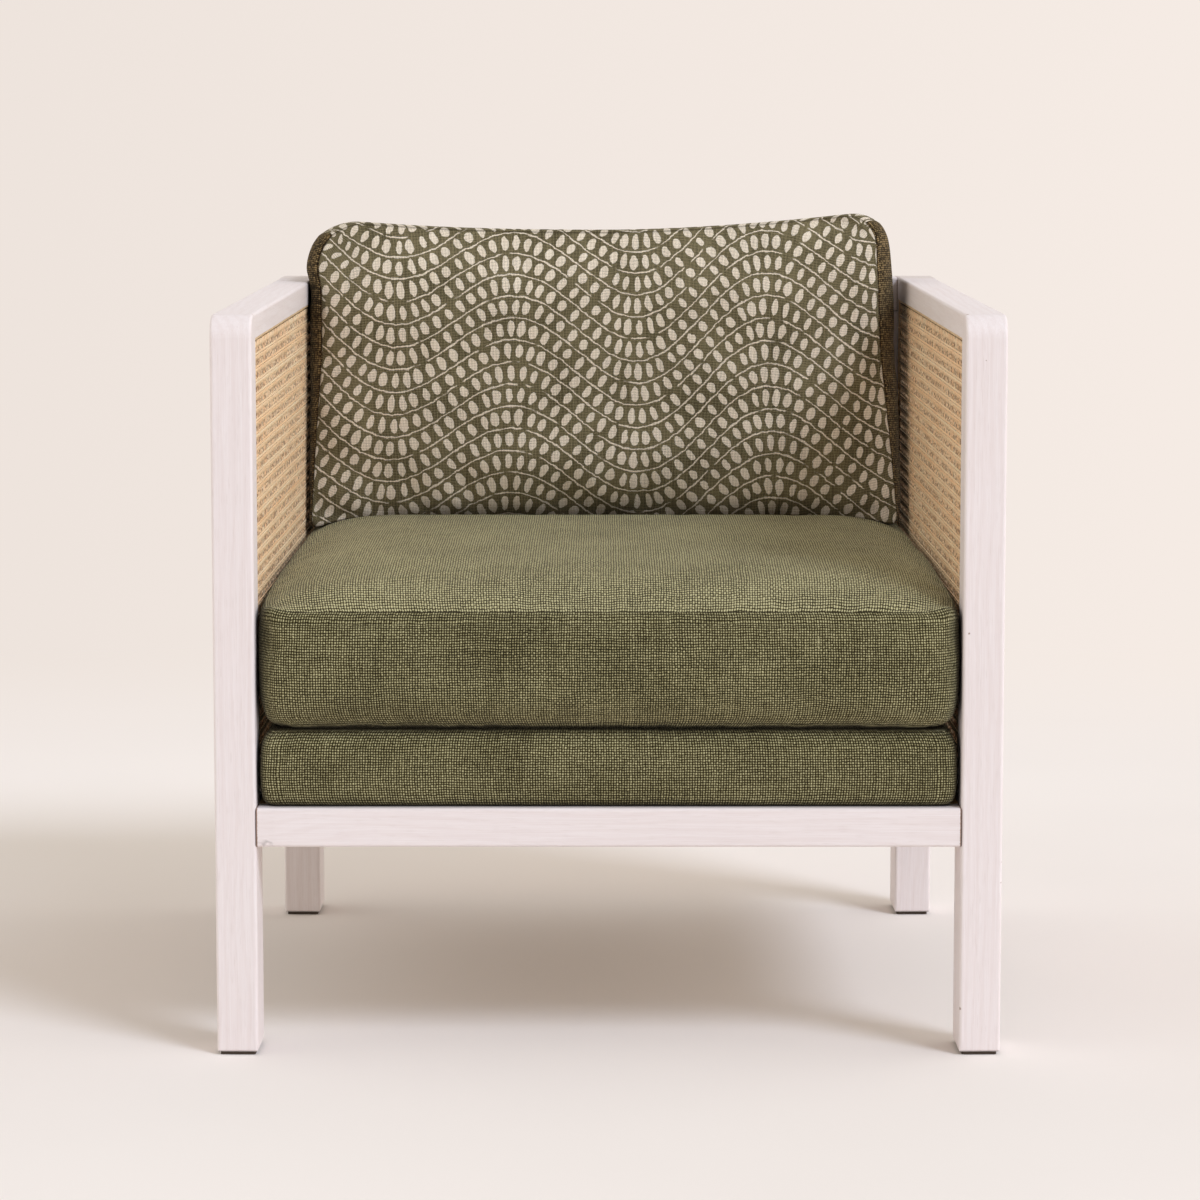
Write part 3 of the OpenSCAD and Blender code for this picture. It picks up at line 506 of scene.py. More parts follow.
PALE_WOOD, DARK_WOOD = "#D9BE93", "#B08F60"
paint(timber("timber_turn", "turn"), *left_right("front_post"))
paint(timber("timber_upright", "z", tone=0.05), *left_right("rear_post"))
paint(timber("timber_along", "y"), *left_right("arm_rail", "side_seat_rail"))
paint(timber("timber_front", "x", joints=0.9), "front_seat_rail")
paint(timber("timber_across", "x", joints=0.5), "rear_seat_rail", "back_top_rail")
paint(timber("timber_stile", "z"), *left_right("back_stile"))
paint(raw_timber("dowel_wood", "y", PALE_WOOD, DARK_WOOD), "side_frame_dowels")
paint(raw_timber("dowel_wood_across", "x", PALE_WOOD, DARK_WOOD), "cross_rail_dowels")
paint(raw_timber("deck_wood", "y", "#D6B98C", "#AD8855"), "corner_blocks", *left_right("deck_batten"))
paint(raw_timber("deck_wood_across", "x", "#D6B98C", "#AD8855"), "deck_batten_front", "deck_batten_rear")
paint(reed_material("reed"), *left_right("reed_spline"), "reed_spline_back")
paint(steel("screw_steel"), "corner_block_screws", "deck_screws")
paint(two_toned("foot_pad", speckled(900, 3, 0.7), "#2C221B", "#54463A", 0.85, 0.0003, 0.8), "foot_pads")
paint(two_toned("webbing", ribbed, "#1C1A17", "#3A352D", 0.9, 0.0006, 0.6),
      "deck_straps_lengthwise", "deck_straps_crosswise")
paint(two_toned("foam", speckled(700, 4, 0.75), "#D8C98F", "#F0E6BE", 0.95, 0.0006, 0.7),
      "deck_foam", "seat_cushion_core", "back_cushion_core")
paint(dust_material("dust_cloth"), "dust_cover")
paint(zip_material("zip_tape"), "seat_cushion_zip", "back_cushion_zip")


# Meshes in code
def add_object(name, data):
    made = bpy.data.objects.new(name, data)
    bpy.context.scene.collection.objects.link(made)
    return made


def add_mesh(name, points, faces, cloth_points=None, material_ids=None, materials=(), smooth=True):
    mesh = bpy.data.meshes.new(name)
    mesh.from_pydata([tuple(p) for p in points], [], faces)
    for material in materials:
        mesh.materials.append(material)
    if material_ids is not None:
        mesh.polygons.foreach_set("material_index", material_ids)
    if cloth_points is not None:
        layer = mesh.attributes.new("cloth", "FLOAT_VECTOR", "CORNER")
        layer.data.foreach_set("vector", np.asarray(cloth_points, dtype=np.float32).ravel())
    mesh.polygons.foreach_set("use_smooth", [smooth] * len(mesh.polygons))
    mesh.update()
    return add_object(name, mesh)


def coordinates(obj):
    flat = np.empty(len(obj.data.vertices) * 3, dtype=np.float32)
    obj.data.vertices.foreach_get("co", flat)
    return flat.reshape(-1, 3).astype(np.float64)


def set_coordinates(obj, points):
    obj.data.vertices.foreach_set("co", np.asarray(points, dtype=np.float32).ravel())
    obj.data.update()


# Woven cane panels
CANE_PITCH = 0.0127
PAIR_GAP, PAIR_MARGIN = 0.0028, 0.003
STRAND_W, STRAND_T = 0.0021, 0.0009
DIAGONAL_W, DIAGONAL_T = 0.0023, 0.0008
# The middle of the weave lies this deep in its groove, and the strands swing by CANE_WAVE
CANE_DEPTH, CANE_WAVE = 0.0022, 0.00042
GROOVE_TURN, GROOVE_DIVE = 0.0022, 0.0030
# A strand's section: across and deep, in parts of its width and thickness
STRAND_SHAPE = [(-0.5, 0.5), (-0.33, -0.5), (0.33, -0.5), (0.5, 0.5)]
OUTSIDE = 3
# The panel stops this far short of the ends of its grooves
RIM = 0.0036


class Strands:
    """The mesh of a panel's strands, with points as (depth, across, up)."""

    def __init__(self):
        self.points, self.faces, self.cloth = [], [], []
        self.count = 0

    def add(self, path, width, thick):
        start = len(self.points)
        path = [np.array(point) for point in path]
        # Each end dives into the groove beside the spline
        for end, near in ((0, 1), (-1, -2)):
            way = (path[near] - path[end])[1:]
            length = np.linalg.norm(way)
            turn = path[end][1:] + way / length * min(GROOVE_TURN, 0.5 * length)
            path.insert(near if near > 0 else end, np.array([path[near][0], *turn]))
        for end in (0, -1):
            path[end] = path[end] + (GROOVE_DIVE, 0, 0)
        path = np.array(path)
        step = np.gradient(path, axis=0)
        flat = step[:, 1:] / np.linalg.norm(step[:, 1:], axis=1)[:, None]
        side = np.stack([np.zeros(len(path)), -flat[:, 1], flat[:, 0]], axis=1)
        run = np.concatenate([[0.0], np.cumsum(np.linalg.norm(np.diff(path, axis=0), axis=1))])
        # Painted shade: deep stretches are darker from inside, and the others from outside
        swing = (path[:, 0] - CANE_DEPTH) / CANE_WAVE * 0.30
        inner = np.clip(swing + 0.25, 0, 1.2)
        outer = np.clip(0.25 - swing, 0, 1.2)
        for k in range(len(path)):
            for across, deep in STRAND_SHAPE:
                self.points.append(path[k] + side[k] * across * width + (deep * thick, 0, 0))
        for k in range(len(path) - 1):
            for i in range(4):
                a = start + 4 * k + i
                b = start + 4 * k + (i + 1) % 4
                self.faces.append((a, b, b + 4, a + 4))
                for end, j in ((k, i), (k, i + 1), (k + 1, i + 1), (k + 1, i)):
                    # Painted shade down the strand's sides
                    edge_shade = 0.75 if STRAND_SHAPE[j % 4][1] > 0 else 0.0
                    shade = outer[end] if i == OUTSIDE else inner[end] + edge_shade
                    self.cloth.append((self.count, run[end], shade))
        self.count += 1


def stations(a, b, centre):
    """a, every half pitch between a and b on the pattern's own grid, and b."""
    first = math.ceil((a - centre) / CANE_PITCH * 2 + 1e-6)
    last = math.floor((b - centre) / CANE_PITCH * 2 - 1e-6)
    return [a] + [centre + k * CANE_PITCH / 2 for k in range(first, last + 1)] + [b]


def straight_pairs(strands, lo, hi, along, base, swing):
    """Pairs of strands that run along 0, across the panel, or 1, up it."""
    beside = 1 - along
    mid = (lo + hi) / 2
    first = math.ceil((lo[beside] + PAIR_MARGIN - mid[beside]) / CANE_PITCH)
    last = math.floor((hi[beside] - PAIR_MARGIN - mid[beside]) / CANE_PITCH)
    for k in range(first, last + 1):
        for s in (-1, 1):
            path = []
            for w in stations(lo[along], hi[along], mid[along]):
                depth = base + swing * s * math.cos(math.pi * (w - mid[along]) / CANE_PITCH + math.pi * k)
                v = mid[beside] + k * CANE_PITCH + s * PAIR_GAP / 2
                path.append((depth, v, w) if along else (depth, w, v))
            strands.add(path, STRAND_W, STRAND_T)


def diagonals(strands, lo, hi, sign):
    """Strands at 45 degrees through the middles of the open squares."""
    mid = (lo + hi) / 2
    count = int((hi - lo).sum() / CANE_PITCH) + 2
    for k in range(-count, count + 1):
        offset = (k + 0.5) * CANE_PITCH
        ends = sorted(mid[0] + sign * (level - mid[1] - offset) for level in (lo[1], hi[1]))
        start, end = max(lo[0], ends[0]), min(hi[0], ends[1])
        if end - start < 0.02 * (hi[0] - lo[0]):
            continue
        path = []
        for v in stations(start, end, mid[0] + CANE_PITCH / 4):
            swing = 1.5 * sign * math.cos(FULL_TURN * (v - mid[0]) / CANE_PITCH + math.pi / 4)
            path.append((CANE_DEPTH + 0.0003 + CANE_WAVE * swing, v, mid[1] + sign * (v - mid[0]) + offset))
        strands.add(path, DIAGONAL_W, DIAGONAL_T)


def cane_panel(name, node, lo, hi, place, material):
    """Pairs of upright and level strands with a strand along each diagonal, woven over and under.

    lo and hi are the panel's corners, and place turns (depth, across, up) into the shared frame."""
    strands = Strands()
    straight_pairs(strands, lo, hi, 1, CANE_DEPTH + 0.0002, CANE_WAVE)
    straight_pairs(strands, lo, hi, 0, CANE_DEPTH - 0.0005, -0.6 * CANE_WAVE)
    for sign in (-1, 1):
        diagonals(strands, lo, hi, sign)
    placed = place(np.array(strands.points))
    made = add_mesh(name, placed, strands.faces, strands.cloth, materials=[material], smooth=False)
    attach(made, "frame")
    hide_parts(node)


def side_place(s):
    """Places a panel in the left (-1) or right (1) side frame."""
    def place(p):
        x = INNER + p[:, 0] * math.cos(SPLAY) - p[:, 1] * math.sin(SPLAY)
        y = Y_FRONT + p[:, 0] * math.sin(SPLAY) + p[:, 1] * math.cos(SPLAY)
        return np.stack([s * x, y, p[:, 2]], axis=1)
    return place


def back_place(p):
    return np.stack([-p[:, 1], Y_BACK + p[:, 0], p[:, 2]], axis=1)


cane = cane_material("cane")
GROOVE_FOOT = CANE_FOOT - RAIL_LAP + RIM
side_lo = np.array([POST_D - POST_LAP + RIM, GROOVE_FOOT])
side_hi = np.array([SIDE_L - POST_D + POST_LAP - RIM, ARM_H - ARM_RAIL_H + RAIL_LAP - RIM])
back_half = inner_x(Y_BACK) - STILE_W + STILE_LAP - RIM
back_lo = np.array([-back_half, GROOVE_FOOT])
back_hi = np.array([back_half, ARM_H - BACK_RAIL_H + RAIL_LAP - RIM])
cane_panel("woven_cane_left", "cane_panel_left", side_lo, side_hi, side_place(-1), cane)
cane_panel("woven_cane_right", "cane_panel_right", side_lo, side_hi, side_place(1), cane)
cane_panel("woven_cane_back", "cane_panel_back", back_lo, back_hi, back_place, cane)


# Boxed forms
def unit(values):
    """Cuts values to the range from 0 to 1."""
    return np.clip(values, 0, 1)


def spread(length, near, step):
    """Distances along a panel: close together by the seams, then evenly spaced."""
    half = [d for d in near if d < length / 2 - step]
    inner = length - 2 * half[-1]
    count = max(2, round(inner / step))
    middle = [half[-1] + inner * i / count for i in range(1, count)]
    return half + middle + [length - d for d in reversed(half)]


def side_rings(count, low, high, fullness):
    """Evenly spaced rings of an upright side that swells outward: height and inset."""
    parts = [i / count for i in range(1, count + 1)]
    return [(low + (high - low) * part, -fullness * math.sin(math.pi * part)) for part in parts]


def plan(a, s, y0, y1, half_at, inset, r):
    """A boxed form's point from above: a runs from side to side and s from front to rear."""
    y = y0 + inset + s * (y1 - y0 - 2 * inset)
    half = half_at(y, a) - inset
    return rounded(a * half, y, half, y0 + inset, y1 - inset, r)


def quad_flat(flat, r, k):
    """The flat coordinates at the four corners of a ring's quad."""
    return [flat(r, k), flat(r, k + 1), flat(r + 1, k + 1), flat(r + 1, k)]


class Boxed:
    """A closed boxed form: a far panel, rings of boxing, and a near panel, all of quads."""

    def __init__(self, nx, ny, rings):
        self.nx, self.ny, self.rings = nx, ny, rings
        self.n = 2 * (nx + ny)
        # Column and row of each point round the rim
        self.rim = [(i, 0) for i in range(nx)] + [(nx, j) for j in range(ny)]
        self.rim += [(i, ny) for i in range(nx, 0, -1)] + [(0, j) for j in range(ny, 0, -1)]
        self.points, self.faces, self.flat, self.part = [], [], [], []
        self.index = {}

    def last_ring(self):
        """The points of the near panel's seam."""
        return np.arange((self.rings - 1) * self.n, self.rings * self.n)

    def build(self, ring_point, ring_flat, near_flat, near_point=None, far_point=None, far_flat=None):
        """A panel without a point of its own lies level with the ring at its rim."""
        nx, ny, n, rings = self.nx, self.ny, self.n, self.rings
        far_point = far_point or (lambda i, j: ring_point(0, i, j))
        near_point = near_point or (lambda i, j: ring_point(rings - 1, i, j))
        for r in range(rings):
            self.points += [ring_point(r, i, j) for i, j in self.rim]
        for r in range(rings - 1):
            for k in range(n):
                a, b = r * n + k, r * n + (k + 1) % n
                self.faces.append((a, b, b + n, a + n))
                self.flat += quad_flat(ring_flat, r, k)
                self.part.append(0)
        index = self.index
        for k, (i, j) in enumerate(self.rim):
            index[0, i, j] = k
            index[1, i, j] = (rings - 1) * n + k
        for panel, make, flat in ((0, far_point, far_flat or near_flat), (1, near_point, near_flat)):
            for j in range(1, ny):
                for i in range(1, nx):
                    index[panel, i, j] = len(self.points)
                    self.points.append(make(i, j))
            for j in range(ny):
                for i in range(nx):
                    around = [(i, j), (i + 1, j), (i + 1, j + 1), (i, j + 1)]
                    if panel == 0:
                        around.reverse()
                    self.faces.append(tuple(index[(panel, *c)] for c in around))
                    self.flat += [flat(*c) for c in around]
                    self.part.append(panel + 1)


def rounded(x, y, half, lo, hi, r):
    """Moves a point near a corner of a rectangle onto a rounded corner."""
    dx = abs(x) - half + r
    low = y < (lo + hi) / 2
    dy = lo + r - y if low else y - hi + r
    if dx > 0 and dy > 0:
        k = max(dx, dy) / math.hypot(dx, dy)
        return math.copysign(half - r + k * dx, x), (lo + r - k * dy if low else hi - r + k * dy)
    return x, y


WAVES = 6


def swell(obj, pinned, pressure, cap, frames=20, stiff=12.0, shrink=-0.01, bend=0.4):
    """Cloth with pressure inside; each point moves at most cap metres, and pinned ones stay."""
    start = coordinates(obj)
    group = obj.vertex_groups.new(name="held")
    for weight in sorted(set(pinned.values())):
        group.add([i for i, w in pinned.items() if w == weight], weight, "REPLACE")
    modifier = obj.modifiers.new("cloth", "CLOTH")
    configure(modifier.settings, quality=5, mass=0.3, tension_stiffness=stiff, compression_stiffness=stiff,
              shear_stiffness=stiff * 0.5, bending_stiffness=bend, tension_damping=8, compression_damping=8,
              shear_damping=8, air_damping=3, use_pressure=True, uniform_pressure_force=pressure,
              shrink_min=shrink, vertex_group_mass="held", pin_stiffness=1.0)
    modifier.settings.effector_weights.gravity = 0
    configure(modifier.collision_settings, use_collision=False, use_self_collision=False)
    configure(modifier.point_cache, frame_start=1, frame_end=frames)
    scene = bpy.context.scene
    for number in range(1, frames + 1):
        scene.frame_set(number)
    step = coordinates(obj.evaluated_get(bpy.context.evaluated_depsgraph_get())) - start
    obj.modifiers.remove(modifier)
    obj.vertex_groups.clear()
    scene.frame_set(1)
    size = np.linalg.norm(step, axis=1)
    # A soft cap: short moves are kept whole, long ones level off at the cap
    keep = cap * np.tanh(size / cap) / np.maximum(size, 1e-9)
    set_coordinates(obj, start + step * keep[:, None])


def subdivide(obj):
    made = obj.modifiers.new("smooth", "SUBSURF")
    made.levels = made.render_levels = 1
    bpy.context.view_layer.objects.active = obj
    with bpy.context.temp_override(object=obj, active_object=obj, selected_objects=[obj]):
        bpy.ops.object.modifier_apply(modifier="smooth")
    obj.data.polygons.foreach_set("use_smooth", [True] * len(obj.data.polygons))


def waves(points, seed, sizes):
    """Smooth seeded unevenness, one value for each point: WAVES plane waves of each length and height."""
    dice = np.random.default_rng(seed)
    total = np.zeros(len(points))
    for length, height in sizes:
        for _ in range(WAVES):
            way = dice.normal(size=3)
            way /= np.linalg.norm(way)
            stretch = dice.uniform(0.7, 1.4)
            phase = dice.uniform(0, 6.3)
            total += height / WAVES ** 0.5 * np.sin(points @ way * FULL_TURN / length / stretch + phase)
    return total


olive = cloth("olive_cloth")
# A lit copy of the cloth for the cushion's top: lift paints light over it, so it reads lighter than the
# front
olive_top_painted_light = cloth("olive_cloth_top_painted_light", lift=0.14, twill=0.30, fuzz=1.5, fleck=0.20, crisp=1.35)
olive_base = cloth("olive_cloth_base")
olive_dark = cloth("olive_boxing", pitch=0.0021, low="#181006", mid="#4B3B23", high="#9C845C",
                   fuzz=0.5, twill=0.0, fleck=0.60, reach=0.010, deep=0.5)
print_cloth = printed("printed_cloth")

# Distances from a seam at which a panel has its first rows of points
NEAR = [0.0, 0.003, 0.007, 0.0125, 0.020]

# Seat cushion
SEAT_Y0, SEAT_Y1 = Y_FRONT + 0.0005, Y_BACK - 0.002
SEAT_H = SEAT_SEAM - SEAT_Z
SEAT_CROWN, SIDE_LIFT, EDGE_LIFT = 0.0325, 0.013, 0.0042
# Parts of the depth over which the top rises in front and falls behind
FRONT_ROLL, REAR_ROLL = 0.4, 0.035
# The weave on the top is seen nearly from its edge, where this many of its threads show
TOP_STRETCH = 0.58
# How close to the sides a cushion's fullness is kept, as a power of the distance from the middle
FULL = 11
SIDE_GAP, LEFT_GAP, RIGHT_GAP, GAP_RUN = 0.0013, 0.0080, 0.0054, 0.075
FRONT_BULGE, EAR_H, EAR_R = 0.0080, 0.0042, 0.013
# The lower front edge lifts over this much of the height and depth
LOW_EDGE_H, LOW_EDGE_D = 0.030, 0.034
# Part of the depth over which the top seam draws up to the sides, and how much of its inset goes
SNUG_RUN, SNUG = 0.2, 0.7
SEAT_R = 0.015
# The back cushion stands this far behind the seat cushion's front
BACK_FOOT = 0.565


def seat_half(y, a=1.0):
    """Half the width of the cushion: nearly against the sides, a little less at the front."""
    gap = LEFT_GAP if a < 0 else RIGHT_GAP
    return inner_x(y) - SIDE_GAP - gap * max(0.0, 1 - (y - SEAT_Y0) / GAP_RUN) ** 2


def side_lift(s):
    """The sides squeeze the cushion, which lifts its top seams away from the front."""
    return SIDE_LIFT * (1 - (1 - min(1.0, s / 0.5)) ** 2) * min(1.0, (1 - s) / 0.05)


def rear_fall(s):
    """From 0 where the top starts to fall to 1 at the rear seam."""
    return max(0.0, (s - 1 + REAR_ROLL) / REAR_ROLL)


def seat_rise(a, s):
    front = 1 - (1 - s / FRONT_ROLL) ** 4 if s < FRONT_ROLL else 1.0
    crown = SEAT_CROWN * front * (1 - rear_fall(s) ** 2)
    return side_lift(s) * abs(a) ** FULL + crown * (1 - abs(a) ** FULL)


def seat_level(x, y):
    """Height of the cushion's top at a point near its back."""
    a = min(1.0, abs(x) / seat_half(y))
    return SEAT_SEAM + SIDE_LIFT * a ** FULL + SEAT_CROWN * (1 - a ** FULL)


def rim_lengths(form, across, along, width, depth):
    """Distances round the rim, for the boxing's flat coordinates."""
    lengths = [0.0]
    for (i0, j0), (i1, j1) in zip(form.rim, form.rim[1:] + form.rim[:1]):
        step = math.hypot((across[i1] - across[i0]) * width / 2, (along[j1] - along[j0]) * depth)
        lengths.append(lengths[-1] + step)
    return lengths


def keep_inside(points, spare=0.0):
    """Nothing reaches into the side frames or the back, apart from spare metres at the sides."""
    limit = INNER - (points[:, 1] - Y_FRONT) * math.tan(SPLAY) - 0.0010 + spare
    points[:, 0] = np.clip(points[:, 0], -limit, limit)
    points[:, 1] = np.minimum(points[:, 1], Y_BACK - 0.001)


def seat_cushion():
    front_half = seat_half(SEAT_Y0)
    width, depth = 2 * front_half, SEAT_Y1 - SEAT_Y0
    across = [2 * d / width - 1 for d in spread(width, NEAR, 0.0095)]
    along = [d / depth for d in spread(depth, NEAR, 0.0095)]
    # Rings from the underside to the top seam: height and inset
    levels = [(0.0, 0.0215), (0.0008, 0.0150), (0.0032, 0.0092), (0.0074, 0.0047), (0.0140, 0.0016),
              (0.0250, 0.0001)]
    levels += side_rings(8, 0.025, SEAT_H - 0.010, 0.0012)
    levels += [(SEAT_H - 0.0060, 0.0007), (SEAT_H - 0.0026, 0.0016), (SEAT_H, 0.0032)]
    form = Boxed(len(across) - 1, len(along) - 1, len(levels))

    def seat_plan(i, j, inset):
        return plan(across[i], along[j], SEAT_Y0, SEAT_Y1, seat_half, inset, SEAT_R)

    def ring_point(r, i, j):
        z, inset = levels[r]
        # The top seam keeps its inset in front and lies nearly against the sides behind
        if r >= form.rings // 2 and i in (0, form.nx):
            inset *= 1 - SNUG * min(1.0, along[j] / SNUG_RUN)
        x, y = seat_plan(i, j, inset)
        lift = EDGE_LIFT * max(0.0, 1 - z / LOW_EDGE_H) ** 2 * max(0.0, 1 - (y - SEAT_Y0) / LOW_EDGE_D)
        return x, y, SEAT_Z + z + lift + side_lift(along[j]) * abs(across[i]) ** FULL * (z / SEAT_H) ** 3

    def far_point(i, j):
        return *seat_plan(i, j, levels[0][1]), SEAT_Z

    def near_point(i, j):
        inset = levels[-1][1] * (1 - SNUG * min(1.0, along[j] / SNUG_RUN) * abs(across[i]) ** FULL)
        return *seat_plan(i, j, inset), SEAT_SEAM + seat_rise(across[i], along[j])

    lengths = rim_lengths(form, across, along, width, depth)

    def ring_flat(r, k):
        return lengths[k] - width / 2, SEAT_Z + levels[r][0], SEAT_H - levels[r][0]

    def panel_flat(i, j):
        side = (1 - abs(across[i])) * width / 2
        away = min(side, along[j] * depth, (1 - along[j]) * depth)
        # The threads follow the cloth down the roll to the rear seam
        fall = rear_fall(along[j])
        roll = (1 - TOP_STRETCH) * REAR_ROLL * depth * fall
        roll += 0.55 * SEAT_CROWN * (1 - abs(across[i]) ** FULL) * fall ** 2
        return across[i] * width / 2, along[j] * depth * TOP_STRETCH + roll, away

    def under_flat(i, j):
        return across[i] * width / 2, along[j] * depth, 1.0

    form.build(ring_point, ring_flat, panel_flat, near_point, far_point, under_flat)
    kinds = [int(part == 2) for part in form.part]
    made = add_mesh("seat_cushion", form.points, form.faces, form.flat, kinds, [olive, olive_top_painted_light])
    # The underside and the part below the back cushion stay where they are
    pinned = {i: 1.0 for i, (x, y, z) in enumerate(form.points)
              if z < SEAT_Z + 0.0014 or (y > SEAT_Y0 + BACK_FOOT and z > SEAT_SEAM)}
    rim = form.last_ring()
    pinned.update((int(index), 0.9) for index in rim)
    swell(made, pinned, 3.0, 0.004, stiff=10.0, shrink=-0.012)
    points = coordinates(made)
    # Settled unevenness: soft hollows in the boxing and a slack, dimpled top
    up = points[:, 2] - SEAT_Z
    front = unit((SEAT_Y0 + 0.03 - points[:, 1]) / 0.03)
    part = unit(up / SEAT_H)
    dent = waves(points * (1, 1, 2.2), 4, [(0.30, 0.0012), (0.12, 0.0008), (0.05, 0.0004)])
    points[:, 1] += front * np.sin(part * math.pi) * dent
    # The boxing is fullest low in front
    aside = unit(np.abs(points[:, 0]) / front_half)
    points[:, 1] -= FRONT_BULGE * front * np.sin(part ** 0.6 * math.pi) * (1 - aside ** 10)
    sag = unit(1 - up / 0.045) ** 0.7 * front
    points[:, 2] += sag * (waves(points * (1, 0, 0), 9, [(0.42, 0.0011), (0.17, 0.0009)]) - 0.0004)
    top = unit((up - SEAT_H) / 0.012) * unit((0.15 - points[:, 1]) / 0.05)
    points[:, 2] += top * waves(points, 11, [(0.34, 0.0012), (0.16, 0.0008), (0.07, 0.0004)])
    # Small ears stand up at the two front corners of the seam
    for s in (-1, 1):
        ear = np.array([s * (front_half - 0.006), SEAT_Y0 + 0.006, SEAT_SEAM])
        near = np.exp(-(np.linalg.norm(points - ear, axis=1) / EAR_R) ** 2)
        points[:, 2] += EAR_H * near
        points[:, 1] -= 0.0010 * near
    # The seam draws in between the top and the boxing
    points[rim, 2] -= 0.0005
    inward = points[rim, :2] - np.array([0, (SEAT_Y0 + SEAT_Y1) / 2])
    away = unit((points[rim, 1] - SEAT_Y0) / 0.08)
    points[rim, :2] -= (0.0016 - 0.0012 * away)[:, None] * inward / np.linalg.norm(inward, axis=1)[:, None]
    keep_inside(points)
    set_coordinates(made, points)
    subdivide(made)
    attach(made, "seat_cushion")
    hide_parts("seat_cushion_cover")


seat_cushion()

# Back cushion
BACK_Y = Y_BACK - 0.002
BACK_TOP, BACK_CROWN = 0.7758, 0.024
# Its depth at the foot, and how much of it is gone at the top
FOOT_D, LEAN = 0.150, 0.032
BACK_H = BACK_TOP - SEAT_SEAM - SEAT_CROWN
LEFT_RISE, RIGHT_RISE = 0.0093, 0.0178
LEFT_SIDE, RIGHT_SIDE, RIGHT_LEAN = 0.0016, 0.0085, 0.0135
FOOT_R, LEFT_R, RIGHT_R = 0.013, 0.053, 0.035
ARM_BULGE = 0.0036


def back_cushion():
    width = 2 * inner_x(BACK_Y - 0.13)
    across = [2 * d / width - 1 for d in spread(width, NEAR, 0.0085)]
    upward = [d / BACK_H for d in spread(BACK_H, NEAR, 0.0085)]
    # Rings from the rear seam to the front seam: part of the depth, side inset and top drop
    levels = [(0.0, 0.014, 0.0150), (0.02, 0.0105, 0.0125), (0.06, 0.0055, 0.0108), (0.12, 0.0022, 0.0096),
              (0.20, 0.0006, 0.0086), (0.30, 0, 0.0075), (0.40, 0, 0.0064), (0.50, 0, 0.0053),
              (0.60, 0, 0.0042), (0.69, 0.0002, 0.0032), (0.77, 0.0006, 0.0022),
              (0.845, 0.0018, 0.0013), (0.91, 0.0045, 0.0006), (0.955, 0.0080, 0.0004),
              (0.985, 0.0112, 0.0010), (1.0, 0.0138, 0.0026)]
    form = Boxed(len(across) - 1, len(upward) - 1, len(levels))

    def top_at(a):
        # The left corner stands lower than the right one
        return BACK_TOP + (LEFT_RISE * (abs(a) / 0.86) ** 2.4 if a < 0 else RIGHT_RISE * (a / 0.9) ** 1.7)

    def back_point(a, b, part, inset, drop, rise):
        y = BACK_Y - part * (FOOT_D - LEAN * b)
        # The cushion leans to the left side and leaves a gap on the right
        side = LEFT_SIDE if a < 0 else RIGHT_SIDE + RIGHT_LEAN * b
        if part > 0.5:
            # Low down the front seam stays close to the sides
            inset *= 0.15 + 0.85 * min(1.0, max(0.0, b / 0.55)) ** 1.2
        half = inner_x(y) - side - inset
        r = FOOT_R if b < 0.5 else LEFT_R if a < 0 else RIGHT_R
        px, q = rounded(a * half, b * BACK_H, half, 0.0, BACK_H, r)
        # Above the arm the left corner is free to bulge over it
        if a < 0:
            px -= ARM_BULGE * max(0.0, min(1.0, (q - 0.235) / 0.025)) * abs(a) ** 4
        low = seat_level(px, y) + 0.0004
        high = top_at(a) - drop
        return px, y - rise, low + (high - low) * q / BACK_H

    def ring_point(r, i, j):
        return back_point(across[i], upward[j], *levels[r], 0.0)

    def near_point(i, j):
        a, b = across[i], upward[j]
        rise = BACK_CROWN * (1 - abs(a) ** 4) * (1 - abs(2 * b - 1) ** 4)
        return back_point(a, b, 1.0, levels[-1][1], levels[-1][2] * max(0.0, (b - 0.85) / 0.15), rise)

    lengths = rim_lengths(form, across, upward, width, BACK_H)
    top_start, top_end = form.nx + form.ny, 2 * form.nx + form.ny

    def ring_flat(r, k):
        away = (1 - levels[r][0]) * FOOT_D
        if top_start <= k <= top_end:
            return across[form.rim[k][0]] * width / 2, BACK_H + away, away
        return lengths[k], levels[r][0] * FOOT_D, away

    def corner_flat(r, k):
        return lengths[k], levels[r][0] * FOOT_D, 1.0

    def panel_flat(i, j):
        side = (1 - abs(across[i])) * width / 2
        up = upward[j] * BACK_H
        return across[i] * width / 2, up, min(side, up, BACK_H - up)

    form.build(ring_point, ring_flat, panel_flat, near_point)
    # The print runs over the top edge, as far as the rear seam
    kinds = [int(part == 2) for part in form.part]
    for r in range(form.rings - 1):
        for k in range(top_start - 1, top_end + 1):
            number = r * form.n + k
            if top_start <= k < top_end:
                kinds[number] = 1
            else:
                form.flat[4 * number:4 * number + 4] = quad_flat(corner_flat, r, k)
    made = add_mesh("back_cushion", form.points, form.faces, form.flat, kinds, [olive_dark, print_cloth])
    # The rear and the foot stay where they are, and the seams and the top give a little
    pinned = {i: 1.0 for i, (x, y, z) in enumerate(form.points)
              if y > BACK_Y - 0.002 or z < seat_level(x, y) + 0.004}
    rim = form.last_ring()
    for index in rim:
        pinned.setdefault(int(index), 0.75)
    for r in range(form.rings):
        for k in range(top_start, top_end + 1):
            index = r * form.n + k
            pinned[index] = max(pinned.get(index, 0.0), 0.85)
    swell(made, pinned, 3.5, 0.008, stiff=9.0, shrink=-0.022, bend=0.25)
    points = coordinates(made)
    start = np.array(form.points)
    held = np.array([pinned.get(i, 0.0) == 1.0 for i in range(len(points))])
    points[held] = start[held]
    face = np.zeros(len(points))
    for (panel, i, j), index in form.index.items():
        if panel == 1:
            face[index] = min(1.0, min(i, form.nx - i) / 3) * min(1.0, min(j, form.ny - j) / 3)
    dents = waves(points * (1, 0.2, 1.3), 21, [(0.26, 0.0018), (0.12, 0.0012), (0.055, 0.0005)])
    points[:, 1] -= face * dents
